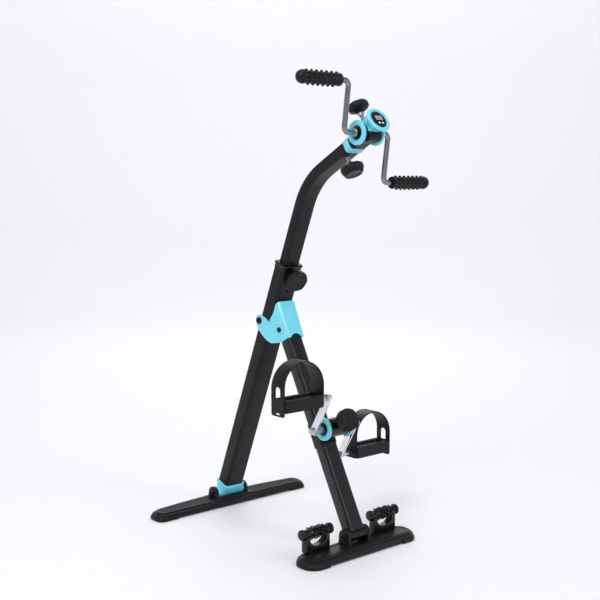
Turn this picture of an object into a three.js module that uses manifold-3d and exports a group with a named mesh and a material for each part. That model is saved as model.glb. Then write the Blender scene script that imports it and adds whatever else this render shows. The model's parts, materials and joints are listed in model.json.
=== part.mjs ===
// A folding pedal exerciser: an A-frame of two leaning tubes on two flat bases, with a foot
// crank on the front leg and a hand crank on a telescoping mast.
// Millimetres, +Z up. X runs along the crank axles, -Y points at the person who uses it.
// The origin is on the floor under the middle of the whole machine.

import * as THREE from 'three';
import { mergeVertices } from 'three/addons/utils/BufferGeometryUtils.js';
import Module from 'manifold-3d';

const wasm = await Module();
wasm.setup();

// ---------------------------------------------------------------- driving dimensions

const GAP = 0.3;                       // running and seating clearance between pieces
const CENTRE_Y = 243.85;                // from the rear base's middle to the origin
const degrees = THREE.MathUtils.degToRad;

// sides of a round piece by how large it is, and steps in a quarter turn of a tube's corner
const FINE = 16;
const ROUND = 12;
const SMALL = 10;
const CORNER = 2;

// rear base and the post that leans forward from it
const REAR_HALF_LENGTH = 212;
const REAR_FRONT = -34;
const REAR_BACK = 26;
const REAR_BACK_END = 12;
const REAR_EARS = { inner: 38, thickness: 9 };
const PIVOT_HEIGHT = 28;
const EAR_RADIUS = 15;
const POST_LEAN = 22.3;
const POST = { width: 50, depth: 35, corner: 6, wall: 1.8 };
const POST_FOOT = 16;
const POST_TOP = 594;
const CUFF_TOP = 27;

// mast: slides in the post, then bends towards the user
const MAST = { width: 40, depth: 24, corner: 5, wall: 1.6 };
const MAST_FOOT = 350;
const MAST_BEND_START = 734;
const MAST_BEND_RADIUS = 150;
const MAST_BEND = 39.1;
const MAST_END_LENGTH = 100;
const HOLE_PITCH = 28;
const HEIGHT_HOLE = 576;
const HEIGHT_HOLE_COUNT = 5;

// fold pivot, behind the post's middle, and the bracket that turns on it
const FOLD_Y = -160;
const FOLD_Z = 453;
const FOLD_TRAVEL = 45;
const HOOD = { half: 24, inner: 20.4, front: 3.5 };
const CHEEK = { inner: 25.4, outer: 28.6 };

// leg: leans back from the front base up into the fold bracket
const LEG_FOOT_Y = -438;
const LEG_FOOT_Z = 35;
const LEG_LEAN = 28;
const LEG = { width: 40, depth: 29, corner: 6, wall: 1.8 };
const LEG_TOP = 485;
const LEG_BOLT = 457;

// front base with its two massage rollers
const FRONT_HALF_LENGTH = 150;
const FRONT_MIDDLE_Y = -446;
const FRONT_HALF_DEPTH = 31;
const FRONT_EARS = { inner: 23, thickness: 8 };
const ROLLER_X = 94;
const ROLLER_Y = -424;
const ROLLER_HEIGHT = 57;

// floor-to-top levels that both bases share
const BEAM_BOTTOM = 3;
const BEAM_EDGE_TOP = 15;
const BEAM_TOP = 19;
const FOOT_TOP = 10;
const FOOT_LENGTH = 46;

// crank housings: barrel, end rings, bearings and the brake drum on the axle
const BARREL_RADIUS = 20;
const HEAD_BARREL = 22;                // half-lengths of the two barrels
const LEG_BARREL = 28;
const BEARING_RADIUS = 14;
const BEARING_WIDTH = 9;
const DRUM_RADIUS = 12;
const DRUM_HALF_WIDTH = 7;
const RING_RADIUS = 24.6;
const RING_WIDTH = 7.6;
const AXLE_RADIUS = 8;

// foot crank
const FOOT_CRANK_FORWARD = 45;         // from the leg's centreline to the axle
const FOOT_CRANK_UP = 218;             // from the leg's foot pivot, along the leg
const FOOT_CRANK_RADIUS = 89;
const FOOT_CRANK_LEAN = 30;            // left arm, from upright towards the user
const ARM_X = 58;
const ARM_THICKNESS = 5;
const PEDAL_X = 138;
const PEDAL_HALF_LENGTH = 51.5;
const PEDAL_DEPTH = 42;
const STRAP_TOP = 85;

// hand crank
const HEAD_REACH = 37;                 // from the mast's end to the axle
const HEAD_RISE = 3;                   // from the mast's centreline up to the axle
const HAND_CRANK_RADIUS = 97;
const HAND_CRANK_LEAN = 7.7;
const ROD_RADIUS = 5.5;
const ROD_X = 60;
const ROD_START = 14;
const ROD_BEND = 11;
const GRIP_START = 83;
const GRIP_END = 189;
const GRIP_RADIUS = 12;

// display pod on the head
const DISPLAY_TILT = 6;
const DISPLAY_RADIUS = 18;
const POD_RADIUS = 27;
const STEM_FORWARD = 4;                // the resistance knob's stud, past the axle's middle

// ---------------------------------------------------------------- materials

const finish = (color, roughness, metalness) =>
  new THREE.MeshStandardMaterial({ color, roughness, metalness });

const paint = {
  satin: () => finish(0x232325, 0.5, 0.1),
  gloss: () => finish(0x18181a, 0.15, 0.2),
  moulded: () => finish(0x1b1b1d, 0.6, 0),
  rubber: () => finish(0x151516, 0.8, 0),
  blue: () => finish(0x66cfe6, 0.35, 0),
  chrome: () => finish(0xc9ccd0, 0.15, 1),
  steel: () => finish(0x9a9da2, 0.35, 1),
  screen: () => finish(0x8f948c, 0.2, 0),
  white: () => finish(0xf0f0f0, 0.4, 0),
};

// ---------------------------------------------------------------- solids: join, cut, clean

// Only positions are kept and shared, and faces that collapsed to a line are dropped.
function welded(geometry) {
  const bare = new THREE.BufferGeometry();
  bare.setAttribute('position', geometry.getAttribute('position').clone());
  if (geometry.index) bare.setIndex(geometry.index.clone());
  const merged = mergeVertices(bare, 1e-3);
  const index = merged.index.array;
  const kept = [];
  for (let i = 0; i < index.length; i += 3) {
    const [a, b, c] = [index[i], index[i + 1], index[i + 2]];
    if (a !== b && b !== c && c !== a) kept.push(a, b, c);
  }
  merged.setIndex(kept);
  return merged;
}

function signedVolume(geometry) {
  const position = geometry.getAttribute('position');
  const index = geometry.index.array;
  const [a, b, c] = [new THREE.Vector3(), new THREE.Vector3(), new THREE.Vector3()];
  let volume = 0;
  for (let i = 0; i < index.length; i += 3) {
    a.fromBufferAttribute(position, index[i]);
    b.fromBufferAttribute(position, index[i + 1]);
    c.fromBufferAttribute(position, index[i + 2]);
    volume += a.dot(b.cross(c)) / 6;
  }
  return volume;
}

function facingOut(geometry) {
  const clean = welded(geometry);
  if (signedVolume(clean) < 0) clean.setIndex(Array.from(clean.index.array).reverse());
  return clean;
}

function solid(geometry) {
  const clean = facingOut(geometry);
  return new wasm.Manifold(new wasm.Mesh({
    numProp: 3,
    vertProperties: new Float32Array(clean.getAttribute('position').array),
    triVerts: new Uint32Array(clean.index.array),
  }));
}

function geometryOf(body) {
  const mesh = body.getMesh();
  const geometry = new THREE.BufferGeometry();
  geometry.setAttribute('position', new THREE.BufferAttribute(mesh.vertProperties, 3));
  geometry.setIndex(new THREE.BufferAttribute(mesh.triVerts, 1));
  return geometry;
}

const join = (first, ...others) =>
  geometryOf(others.reduce((body, next) => body.add(solid(next)), solid(first)));

const cut = (first, ...others) =>
  geometryOf(others.reduce((body, next) => body.subtract(solid(next)), solid(first)));

const common = (first, second) => geometryOf(solid(first).intersect(solid(second)));

// ---------------------------------------------------------------- basic shapes

const at = (geometry, x, y, z) => geometry.translate(x, y, z);

// A box from its lowest to its highest corner.
function block([x0, y0, z0], [x1, y1, z1]) {
  const box = new THREE.BoxGeometry(x1 - x0, y1 - y0, z1 - z0);
  return box.translate((x0 + x1) / 2, (y0 + y1) / 2, (z0 + z1) / 2);
}

// Round bars along each axis, from one station to another.
function barZ(radius, z0, z1, sides = ROUND) {
  const bar = new THREE.CylinderGeometry(radius, radius, z1 - z0, sides);
  return bar.rotateX(Math.PI / 2).translate(0, 0, (z0 + z1) / 2);
}
const barX = (radius, x0, x1, sides = ROUND) => barZ(radius, x0, x1, sides).rotateY(Math.PI / 2);
const barY = (radius, y0, y1, sides = ROUND) => barZ(radius, -y1, -y0, sides).rotateX(Math.PI / 2);

// Turned pieces: the profile is a list of [radius, station].
function turnedZ(profile, sides = FINE) {
  const points = profile.map(([radius, station]) => new THREE.Vector2(radius, station));
  return new THREE.LatheGeometry(points, sides).rotateX(Math.PI / 2);
}
const turnedX = (profile, sides) => turnedZ(profile, sides).rotateY(Math.PI / 2);

function extruded(shape, depth, curveSegments = CORNER) {
  return new THREE.ExtrudeGeometry(shape, { depth, curveSegments, bevelEnabled: false });
}

// An outline drawn in Y and Z, extruded along X from x0 to x1.
function extrudedX(shape, x0, x1, curveSegments) {
  const body = extruded(shape, x1 - x0, curveSegments);
  return body.rotateZ(Math.PI / 2).rotateY(Math.PI / 2).translate(x0, 0, 0);
}

// An outline drawn in X and Z, extruded along Y about its middle.
function extrudedY(shape, depth, curveSegments) {
  const body = extruded(shape, depth, curveSegments).rotateX(Math.PI / 2);
  return body.translate(0, depth / 2, 0);
}

function roundedRectangle(width, depth, corner) {
  const [x, y, r] = [width / 2, depth / 2, corner];
  const shape = new THREE.Shape();
  shape.absarc(x - r, y - r, r, 0, Math.PI / 2);
  shape.absarc(-x + r, y - r, r, Math.PI / 2, Math.PI);
  shape.absarc(-x + r, -y + r, r, Math.PI, 1.5 * Math.PI);
  shape.absarc(x - r, -y + r, r, 1.5 * Math.PI, 2 * Math.PI);
  return shape;
}

// A box-section bar of a tube's outer outline, grown by `grow` on every side.
function sectionBar(tube, z0, z1, grow = 0) {
  const shape = roundedRectangle(
    tube.width + 2 * grow, tube.depth + 2 * grow, tube.corner + grow);
  return at(extruded(shape, z1 - z0), 0, 0, z0);
}

function hollowSection(tube) {
  const inset = 2 * tube.wall;
  const shape = roundedRectangle(tube.width, tube.depth, tube.corner);
  shape.holes.push(
    roundedRectangle(tube.width - inset, tube.depth - inset, tube.corner - tube.wall));
  return shape;
}

// A path that is sampled only where it matters: at its ends and around its bends.
class StationPath extends THREE.Curve {
  constructor(stations) {
    super();
    this.stations = stations;
  }

  station(u) {
    return this.stations[Math.round(u * (this.stations.length - 1))];
  }

  getPointAt(u, target = new THREE.Vector3()) {
    return target.copy(this.station(u).point);
  }

  getTangentAt(u, target = new THREE.Vector3()) {
    return target.copy(this.station(u).tangent);
  }
}

// Straight runs between corner points, with a round bend at each inner corner.
function bentPath(corners, radius, bendSteps = 6) {
  const points = corners.map((corner) => new THREE.Vector3(...corner));
  const heading = (i) => points[i + 1].clone().sub(points[i]).normalize();
  const stations = [{ point: points[0], tangent: heading(0) }];
  for (let i = 1; i < points.length - 1; i += 1) {
    const before = heading(i - 1);
    const after = heading(i);
    const turn = before.angleTo(after);
    const inset = radius * Math.tan(turn / 2);
    const start = points[i].clone().addScaledVector(before, -inset);
    const inward = after.clone().addScaledVector(before, -after.dot(before)).normalize();
    for (let k = 0; k <= bendSteps; k += 1) {
      const angle = turn * k / bendSteps;
      const point = start.clone()
        .addScaledVector(before, radius * Math.sin(angle))
        .addScaledVector(inward, radius * (1 - Math.cos(angle)));
      const tangent = before.clone().multiplyScalar(Math.cos(angle))
        .addScaledVector(inward, Math.sin(angle));
      stations.push({ point, tangent });
    }
  }
  stations.push({ point: points.at(-1), tangent: heading(points.length - 2) });
  return new StationPath(stations);
}

function swept(shape, path, curveSegments = CORNER) {
  const steps = path.stations.length - 1;
  return new THREE.ExtrudeGeometry(shape, { steps, curveSegments, extrudePath: path });
}

function circle(radius) {
  const shape = new THREE.Shape();
  shape.absarc(0, 0, radius, 0, 2 * Math.PI);
  return shape;
}

// ---------------------------------------------------------------- the assembly tree

function mesh(name, geometry, material) {
  const piece = new THREE.Mesh(facingOut(geometry), material);
  piece.name = name;
  return piece;
}

function group(position, turnX, ...children) {
  const frame = new THREE.Group();
  frame.position.set(...position);
  frame.rotation.x = degrees(turnX);
  frame.add(...children);
  return frame;
}

const SIDES = [{ name: 'left', sign: -1 }, { name: 'right', sign: 1 }];

// ---------------------------------------------------------------- bases

// Rear base seen from above: straight in front, bowed at the back.
function rearOutline(grow) {
  const x = REAR_HALF_LENGTH + grow;
  const front = REAR_FRONT - grow;
  const backEnd = REAR_BACK_END + grow;
  const backMiddle = 2 * (REAR_BACK + grow) - backEnd;
  const corner = 15;
  const shape = new THREE.Shape();
  shape.moveTo(-x + corner, front);
  shape.lineTo(x - corner, front);
  shape.quadraticCurveTo(x, front, x, front + corner);
  shape.lineTo(x, backEnd - corner);
  shape.quadraticCurveTo(x, backEnd, x - corner, backEnd);
  shape.quadraticCurveTo(0, backMiddle, -x + corner, backEnd);
  shape.quadraticCurveTo(-x, backEnd, -x, backEnd - corner);
  shape.lineTo(-x, front + corner);
  shape.quadraticCurveTo(-x, front, -x + corner, front);
  return shape;
}

// Front base seen from above: a bar with round ends.
function frontOutline(grow) {
  const corner = FRONT_HALF_DEPTH - 4 + grow;
  return roundedRectangle(
    2 * (FRONT_HALF_LENGTH + grow), 2 * (FRONT_HALF_DEPTH + grow), corner);
}

const slab = (shape, z0, z1) => at(extruded(shape, z1 - z0, 4), 0, 0, z0);

// Two round ears that hold a pivot bolt, with feet that run down into the deck.
function ears(pivotY, pivotZ, inner, thickness) {
  return SIDES.flatMap(({ sign }) => {
    const [x0, x1] = [inner * sign, (inner + thickness) * sign].sort((a, b) => a - b);
    const disc = at(barX(EAR_RADIUS, x0, x1), 0, pivotY, pivotZ);
    const foot = block([x0, pivotY - EAR_RADIUS, BEAM_TOP - 2], [x1, pivotY + EAR_RADIUS, pivotZ]);
    return [disc, foot];
  });
}

function beam(outline, pivotY, pivotZ, earInner, earThickness) {
  const boltHole = at(barX(4 + GAP, -60, 60, SMALL), 0, pivotY, pivotZ);
  const relief = at(barX(EAR_RADIUS + 1, -earInner, earInner), 0, pivotY, pivotZ);
  const body = join(
    slab(outline(0), BEAM_BOTTOM, BEAM_EDGE_TOP),
    slab(outline(-5), BEAM_EDGE_TOP - 1, BEAM_TOP),
    ...ears(pivotY, pivotZ, earInner, earThickness));
  return cut(body, boltHole, relief);
}

// Rubber foot: a shoe round one end of a beam, closed underneath.
function foot(outline, halfLength, sign) {
  const shoe = slab(outline(2.5), 0, FOOT_TOP);
  const end = halfLength - FOOT_LENGTH;
  const reach = halfLength + 10;
  const [x0, x1] = sign > 0 ? [end, reach] : [-reach, -end];
  const inside = slab(outline(GAP), BEAM_BOTTOM - GAP, FOOT_TOP + 1);
  return cut(common(shoe, block([x0, -60, -1], [x1, 60, FOOT_TOP + 1])), inside);
}

// Pivot bolt with a round head at each end, as a press-fitted pin is once it is set.
function pivotBolt(halfGrip, shank, head, headWidth) {
  const end = halfGrip + headWidth;
  return turnedX([
    [0, -end], [head - 1, -end], [head, -end + 1], [head, -halfGrip], [shank, -halfGrip],
    [shank, halfGrip], [head, halfGrip], [head, end - 1], [head - 1, end], [0, end],
  ], SMALL);
}

function rearBase() {
  const { inner, thickness } = REAR_EARS;
  const bolt = at(pivotBolt(inner + thickness + GAP, 4, 7, 4), 0, 0, PIVOT_HEIGHT);
  return group([0, 0, 0], 0,
    mesh('rear_base_beam',
      beam(rearOutline, 0, PIVOT_HEIGHT, inner, thickness), paint.moulded()),
    mesh('rear_pivot_bolt', bolt, paint.steel()),
    ...SIDES.map(({ name, sign }) =>
      mesh(`rear_base_foot_${name}`, foot(rearOutline, REAR_HALF_LENGTH, sign), paint.rubber())));
}

// Spiked roller: five star rows between two necks and two end knobs.
function massageRoller() {
  const core = turnedX([
    [0, -41], [9, -41], [11, -39], [11, -32], [5.5, -31.6], [5.5, -21.8], [8, -21.4],
    [8, 21.4], [5.5, 21.8], [5.5, 31.6], [11, 32], [11, 39], [9, 41], [0, 41],
  ], ROUND);
  const points = 8;
  const star = new THREE.Shape();
  for (let i = 0; i < points; i += 1) {
    const middle = 2 * Math.PI * i / points;
    const root = 0.24;
    for (const [radius, angle] of [[7, -root], [14, 0], [7, root]]) {
      const place = [radius * Math.cos(middle + angle), radius * Math.sin(middle + angle)];
      if (i === 0 && angle === -root) star.moveTo(...place);
      else star.lineTo(...place);
    }
  }
  const rows = [-2, -1, 0, 1, 2].map((row) => extrudedX(star, row * 8.6 - 1.4, row * 8.6 + 1.4));
  return join(core, ...rows);
}

// Cradle for a roller: two uprights with open round seats, and a scooped gap between them.
function rollerBracket() {
  const deck = BEAM_TOP + GAP;
  const [half, upright, depth] = [31, 9, 16];
  const scoop = half - upright;
  const shape = new THREE.Shape();
  shape.moveTo(-half, deck);
  shape.lineTo(half, deck);
  shape.lineTo(half, ROLLER_HEIGHT);
  shape.lineTo(scoop, ROLLER_HEIGHT);
  shape.lineTo(scoop, ROLLER_HEIGHT - 8);
  shape.absellipse(0, ROLLER_HEIGHT - 8, scoop, 18, 0, Math.PI, true, 0);
  shape.lineTo(-scoop, ROLLER_HEIGHT);
  shape.lineTo(-half, ROLLER_HEIGHT);
  const seats = SIDES.map(({ sign }) => {
    const [x0, x1] = [scoop * sign, half * sign].sort((a, b) => a - b);
    return at(barX(10, x0, x1), 0, 0, ROLLER_HEIGHT);
  });
  const seatBore = at(barX(5.5 + 2 * GAP, -40, 40), 0, 0, ROLLER_HEIGHT);
  const mouth = block([-40, -4, ROLLER_HEIGHT], [40, 4, ROLLER_HEIGHT + 20]);
  return cut(join(extrudedY(shape, depth, 5), ...seats), seatBore, mouth);
}

function frontBase() {
  const { inner, thickness } = FRONT_EARS;
  const pivotY = LEG_FOOT_Y - FRONT_MIDDLE_Y;
  const bolt = at(pivotBolt(inner + thickness + GAP, 4, 7, 4), 0, pivotY, LEG_FOOT_Z);
  const rollerY = ROLLER_Y - FRONT_MIDDLE_Y;
  return group([0, FRONT_MIDDLE_Y, 0], 0,
    mesh('front_base_beam',
      beam(frontOutline, pivotY, LEG_FOOT_Z, inner, thickness), paint.moulded()),
    mesh('front_pivot_bolt', bolt, paint.steel()),
    ...SIDES.flatMap(({ name, sign }) => [
      mesh(`front_base_foot_${name}`,
        foot(frontOutline, FRONT_HALF_LENGTH, sign), paint.rubber()),
      mesh(`roller_bracket_${name}`,
        at(rollerBracket(), sign * ROLLER_X, rollerY, 0), paint.moulded()),
      mesh(`massage_roller_${name}`,
        at(massageRoller(), sign * ROLLER_X, rollerY, ROLLER_HEIGHT), paint.rubber()),
    ]));
}

// ---------------------------------------------------------------- post and its fittings

// Blue socket that carries the post on the rear pivot. Its rim dips in front and behind.
function rearCuff() {
  const barrel = barX(EAR_RADIUS - 1, -REAR_EARS.inner + GAP, REAR_EARS.inner - GAP);
  const lower = { width: 54, depth: 33, corner: 8 };
  const upper = { width: 58, depth: 43, corner: 10 };
  const walls = join(sectionBar(lower, 2, 18), sectionBar(upper, 12, CUFF_TOP), barrel);
  const dip = at(barY(42, -40, 40, FINE), 0, 0, CUFF_TOP + 37);
  const socket = sectionBar(POST, POST_FOOT - GAP, CUFF_TOP + 1, GAP);
  return cut(walls, dip, socket, barX(4 + GAP, -50, 50, SMALL));
}

function postTube() {
  const foldUp = foldOnPost();
  const shell = at(extruded(hollowSection(POST), POST_TOP - POST_FOOT), 0, 0, POST_FOOT);
  const boss = at(barY(9, -POST.depth / 2 - 4, -POST.depth / 2 + 1), 0, 0, HEIGHT_HOLE);
  const stopHole = at(barY(2.6, -POST.depth, -5, SMALL), 0, 0, HEIGHT_HOLE - 37);
  const screwHole = at(barY(5 + GAP, -POST.depth, -5, SMALL), 0, 0, HEIGHT_HOLE);
  const foldHole = at(barX(4 + GAP, -50, 50, SMALL), 0, foldUp.y, foldUp.z);
  return cut(join(shell, boss), stopHole, screwHole, foldHole);
}

// Liner between post and mast, with a flange that caps the post.
function postBushing() {
  const inset = POST.wall + GAP;
  const collar = { width: POST.width + 5, depth: POST.depth + 5, corner: 10 };
  const outer = join(
    sectionBar(POST, POST_TOP - 55, POST_TOP + GAP + 1, -inset),
    sectionBar(collar, POST_TOP + GAP, POST_TOP + 5.5));
  const screwHole = at(barY(5 + GAP, -POST.depth, -5, SMALL), 0, 0, HEIGHT_HOLE);
  return cut(outer, sectionBar(MAST, POST_TOP - 60, POST_TOP + 8, GAP), screwHole);
}

// The fold pivot's place in the post's own frame.
function foldOnPost() {
  const [dy, dz] = [FOLD_Y, FOLD_Z - PIVOT_HEIGHT];
  const [sin, cos] = [Math.sin(degrees(POST_LEAN)), Math.cos(degrees(POST_LEAN))];
  return { y: dy * cos + dz * sin, z: dz * cos - dy * sin };
}

// Shoulder screw: round head outside the bracket, shoulder through the post's wall.
function foldScrew(sign) {
  const { y, z } = foldOnPost();
  const seat = CHEEK.outer + GAP;
  const screw = turnedX([
    [0, 19], [3, 19], [4, 20], [4, seat], [8, seat], [8, seat + 2.5], [6, seat + 4], [0, seat + 4],
  ], SMALL);
  if (sign < 0) screw.rotateZ(Math.PI);
  return at(screw, 0, y, z);
}

// Moulded clamping knob: a soft five-sided head and its stud, pointing along +Z from its tip.
function clampKnob(studRadius, studLength, radius, thickness) {
  const outline = new THREE.Shape();
  const steps = 20;
  for (let i = 0; i < steps; i += 1) {
    const angle = 2 * Math.PI * i / steps;
    const reach = radius * (0.95 + 0.05 * Math.cos(5 * angle));
    const place = [reach * Math.cos(angle), reach * Math.sin(angle)];
    if (i === 0) outline.moveTo(...place);
    else outline.lineTo(...place);
  }
  const bevel = 3;
  const head = new THREE.ExtrudeGeometry(outline, {
    depth: thickness - 2 * bevel,
    bevelThickness: bevel,
    bevelSize: bevel,
    bevelOffset: -bevel,
    bevelSegments: 1,
  });
  const neck = barZ(studRadius + 4, studLength - 4, studLength + 1, SMALL);
  return join(
    at(head, 0, 0, studLength + bevel), neck, barZ(studRadius, 0, studLength + 1, SMALL));
}

// ---------------------------------------------------------------- mast

function mastPath() {
  const corner = MAST_BEND_START + MAST_BEND_RADIUS * Math.tan(degrees(MAST_BEND) / 2);
  const reach = MAST_END_LENGTH + corner - MAST_BEND_START;
  return bentPath([
    [0, 0, MAST_FOOT],
    [0, 0, corner],
    [0, -reach * Math.sin(degrees(MAST_BEND)), corner + reach * Math.cos(degrees(MAST_BEND))],
  ], MAST_BEND_RADIUS, 6);
}

function mastEnd() {
  return mastPath().stations.at(-1).point;
}

const LOCK_SETBACK = 31;               // from the mast's end back to the lock knob

// A sweep that sets off along Z lays its outline's own x along Y, so the section is turned.
function mastTube() {
  const sideways = { ...MAST, width: MAST.depth, depth: MAST.width };
  const shell = swept(hollowSection(sideways), mastPath());
  const holes = [];
  for (let i = 0; i < HEIGHT_HOLE_COUNT; i += 1) {
    const up = HEIGHT_HOLE + HOLE_PITCH * (1 - i);
    holes.push(at(barY(5 + GAP, -MAST.depth, -4, SMALL), 0, 0, up));
  }
  const end = mastEnd();
  const lockHole = at(barY(4 + GAP, -MAST.depth, -4, SMALL), 0, 0, -LOCK_SETBACK);
  lockHole.rotateX(degrees(MAST_BEND)).translate(0, end.y, end.z);
  return cut(shell, ...holes, lockHole);
}

// Glide that keeps the mast's foot central in the post.
function mastGlide() {
  const outer = sectionBar(POST, MAST_FOOT, MAST_FOOT + 16, -POST.wall - 2 * GAP);
  return cut(outer, sectionBar(MAST, MAST_FOOT - 1, MAST_FOOT + 17, GAP));
}

const NECK = { width: 35.6, depth: 19.6, corner: 3 };
const NECK_LENGTH = 64;

// Blue collar over the mast's end, open for the head's neck. Stations are from the mast's end.
function mastCollar() {
  const outer = { width: 44.6, depth: 28.6, corner: 7 };
  return cut(
    sectionBar(outer, -12, 2.5), sectionBar(MAST, -13, GAP, GAP), sectionBar(NECK, -13, 4, GAP));
}

// ---------------------------------------------------------------- head

const DISPLAY_AT = { y: 5.2, z: 39 };
const CHIN = { radius: 11, half: 16, y: -14, z: 12 };

function displayFrame(geometry) {
  return geometry.rotateX(-degrees(DISPLAY_TILT)).translate(0, DISPLAY_AT.y, DISPLAY_AT.z);
}

const chin = (grow) =>
  at(barX(CHIN.radius + grow, -CHIN.half - grow, CHIN.half + grow), 0, CHIN.y, CHIN.z);

const onStem = (geometry) => at(geometry, 0, 0, STEM_FORWARD);

const bearingSeat = () => barX(BEARING_RADIUS + GAP, -60, 60, FINE);

// Black casting: barrel, neck block, the neck that slides in the mast, and a chin in front.
function headHousing() {
  const neckBlock = { width: 40, depth: 27, corner: 7 };
  const body = join(
    barX(BARREL_RADIUS, -HEAD_BARREL, HEAD_BARREL, FINE),
    at(sectionBar(neckBlock, -HEAD_REACH + 2.5 + GAP, -6), 0, -HEAD_RISE, 0),
    at(sectionBar(NECK, -HEAD_REACH - NECK_LENGTH, -HEAD_REACH + 5), 0, -HEAD_RISE, 0),
    chin(0));
  return cut(body, bearingSeat(), onStem(barY(5 + GAP, 0, 40, SMALL)));
}

// Blue pod that flares out round the display, with a saddle over the barrel's top.
function headShell() {
  const pod = displayFrame(turnedZ([
    [0, -22], [13, -22], [16, -15], [20, -8], [25, -2], [POD_RADIUS, 1], [POD_RADIUS - 1, 3.4],
    [POD_RADIUS - 3, 4.4], [DISPLAY_RADIUS + 1.2, 4], [DISPLAY_RADIUS + GAP, 0], [0, 0],
  ], FINE));
  const saddle = common(
    barX(BARREL_RADIUS + 4, -HEAD_BARREL + 1, HEAD_BARREL - 1, FINE),
    block([-40, 5, -8], [40, 40, 40]));
  const barrel = barX(BARREL_RADIUS + GAP, -60, 60, FINE);
  const stemHole = onStem(barY(5 + GAP, 0, 40, SMALL));
  return cut(join(pod, saddle), barrel, stemHole, chin(GAP));
}

const SCREEN = { width: 20, height: 11, up: 2.5, depth: 1.2 };
const BUTTON = { radius: 2.3, down: 9.5, spread: 4.4, height: 3 };

function displayBezel() {
  const disc = turnedZ([
    [0, GAP], [DISPLAY_RADIUS - 0.6, GAP], [DISPLAY_RADIUS, 1], [DISPLAY_RADIUS, 3],
    [DISPLAY_RADIUS - 2, 4.2], [0, 4.8],
  ], FINE);
  const [w, h] = [SCREEN.width / 2, SCREEN.height / 2];
  const window = block([-w, SCREEN.up - h, 3], [w, SCREEN.up + h, 6]);
  const holes = SIDES.map(({ sign }) =>
    at(barZ(BUTTON.radius + GAP, 1.2, 6, SMALL), sign * BUTTON.spread, -BUTTON.down, 0));
  return displayFrame(cut(disc, window, ...holes));
}

function displayScreen() {
  const [w, h] = [SCREEN.width / 2 - GAP, SCREEN.height / 2 - GAP];
  return displayFrame(
    block([-w, SCREEN.up - h, 3 + GAP], [w, SCREEN.up + h, 3 + GAP + SCREEN.depth]));
}

function displayButton(sign) {
  const [r, z] = [BUTTON.radius, 2.4];
  const cap = turnedZ([
    [0, z], [r, z], [r, z + BUTTON.height - 0.5], [r - 0.6, z + BUTTON.height],
    [0, z + BUTTON.height],
  ], SMALL);
  return displayFrame(at(cap, sign * BUTTON.spread, -BUTTON.down, 0));
}

// Fat ring on the end of a barrel, round outside, with a bore that clears the axle.
function hubRing(barrelHalf, sign) {
  const bore = AXLE_RADIUS + 1;
  const start = barrelHalf + GAP;
  const end = start + RING_WIDTH;
  const ring = turnedX([
    [bore, start], [RING_RADIUS - 2, start], [RING_RADIUS, start + 2], [RING_RADIUS, start + 4.4],
    [RING_RADIUS - 2, end - 1], [RING_RADIUS - 5, end], [bore + 5, end], [bore, end - 2],
    [bore, start],
  ], FINE);
  return sign < 0 ? ring.rotateZ(Math.PI) : ring;
}

function bearing(barrelHalf, sign) {
  const end = barrelHalf - 2;
  const start = end - BEARING_WIDTH;
  const race = turnedX([
    [AXLE_RADIUS + GAP, start], [BEARING_RADIUS, start], [BEARING_RADIUS, end],
    [AXLE_RADIUS + GAP, end], [AXLE_RADIUS + GAP, start],
  ], FINE);
  return sign < 0 ? race.rotateZ(Math.PI) : race;
}

// Brake pad that the knob's stud presses on the drum, lying along +Y above it.
const brakePad = () => barY(5, DRUM_RADIUS + GAP, DRUM_RADIUS + GAP + 6, SMALL);

// Hand crank axle: brake drum in the middle, a blind socket for a rod at each end.
function handAxle() {
  const [end, socket, bore] = [HEAD_BARREL + 12, ROD_START - GAP, ROD_RADIUS + GAP];
  const drum = DRUM_HALF_WIDTH;
  return turnedX([
    [0, -socket], [bore, -socket], [bore, -end], [AXLE_RADIUS, -end], [AXLE_RADIUS, -drum],
    [DRUM_RADIUS, -drum], [DRUM_RADIUS, drum], [AXLE_RADIUS, drum], [AXLE_RADIUS, end],
    [bore, end], [bore, socket], [0, socket],
  ], ROUND);
}

// Bent rod from the axle's socket, along the arm, then out through the grip.
function handCrank(sign) {
  const reach = -sign * HAND_CRANK_RADIUS;
  const path = bentPath([
    [sign * ROD_START, 0, 0],
    [sign * ROD_X, 0, 0],
    [sign * ROD_X, 0, reach],
    [sign * (GRIP_END - 6), 0, reach],
  ], ROD_BEND, 4);
  return swept(circle(ROD_RADIUS), path);
}

// Grip: flared skirt, six knobbly rings and a domed end.
function grip(sign) {
  const bore = ROD_RADIUS + GAP;
  const blind = GRIP_END - 5;
  const profile = [[bore, GRIP_START], [GRIP_RADIUS - 2, GRIP_START], [GRIP_RADIUS + 1, GRIP_START + 2]];
  const rings = 6;
  const first = GRIP_START + 7;
  const pitch = (GRIP_END - 12 - first) / rings;
  for (let i = 0; i < rings; i += 1) {
    const start = first + i * pitch;
    profile.push([GRIP_RADIUS - 0.5, start]);
    profile.push([GRIP_RADIUS + 2.4, start + 0.3 * pitch]);
    profile.push([GRIP_RADIUS + 2.4, start + 0.6 * pitch]);
    profile.push([GRIP_RADIUS - 0.5, start + 0.9 * pitch]);
  }
  profile.push([GRIP_RADIUS + 1, GRIP_END - 10], [GRIP_RADIUS + 1, GRIP_END - 4]);
  profile.push([GRIP_RADIUS - 3, GRIP_END], [0, GRIP_END], [0, blind], [bore, blind]);
  profile.push([bore, GRIP_START]);
  const sleeve = turnedX(profile, SMALL);
  if (sign < 0) sleeve.rotateZ(Math.PI);
  return at(sleeve, 0, 0, -sign * HAND_CRANK_RADIUS);
}

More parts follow.
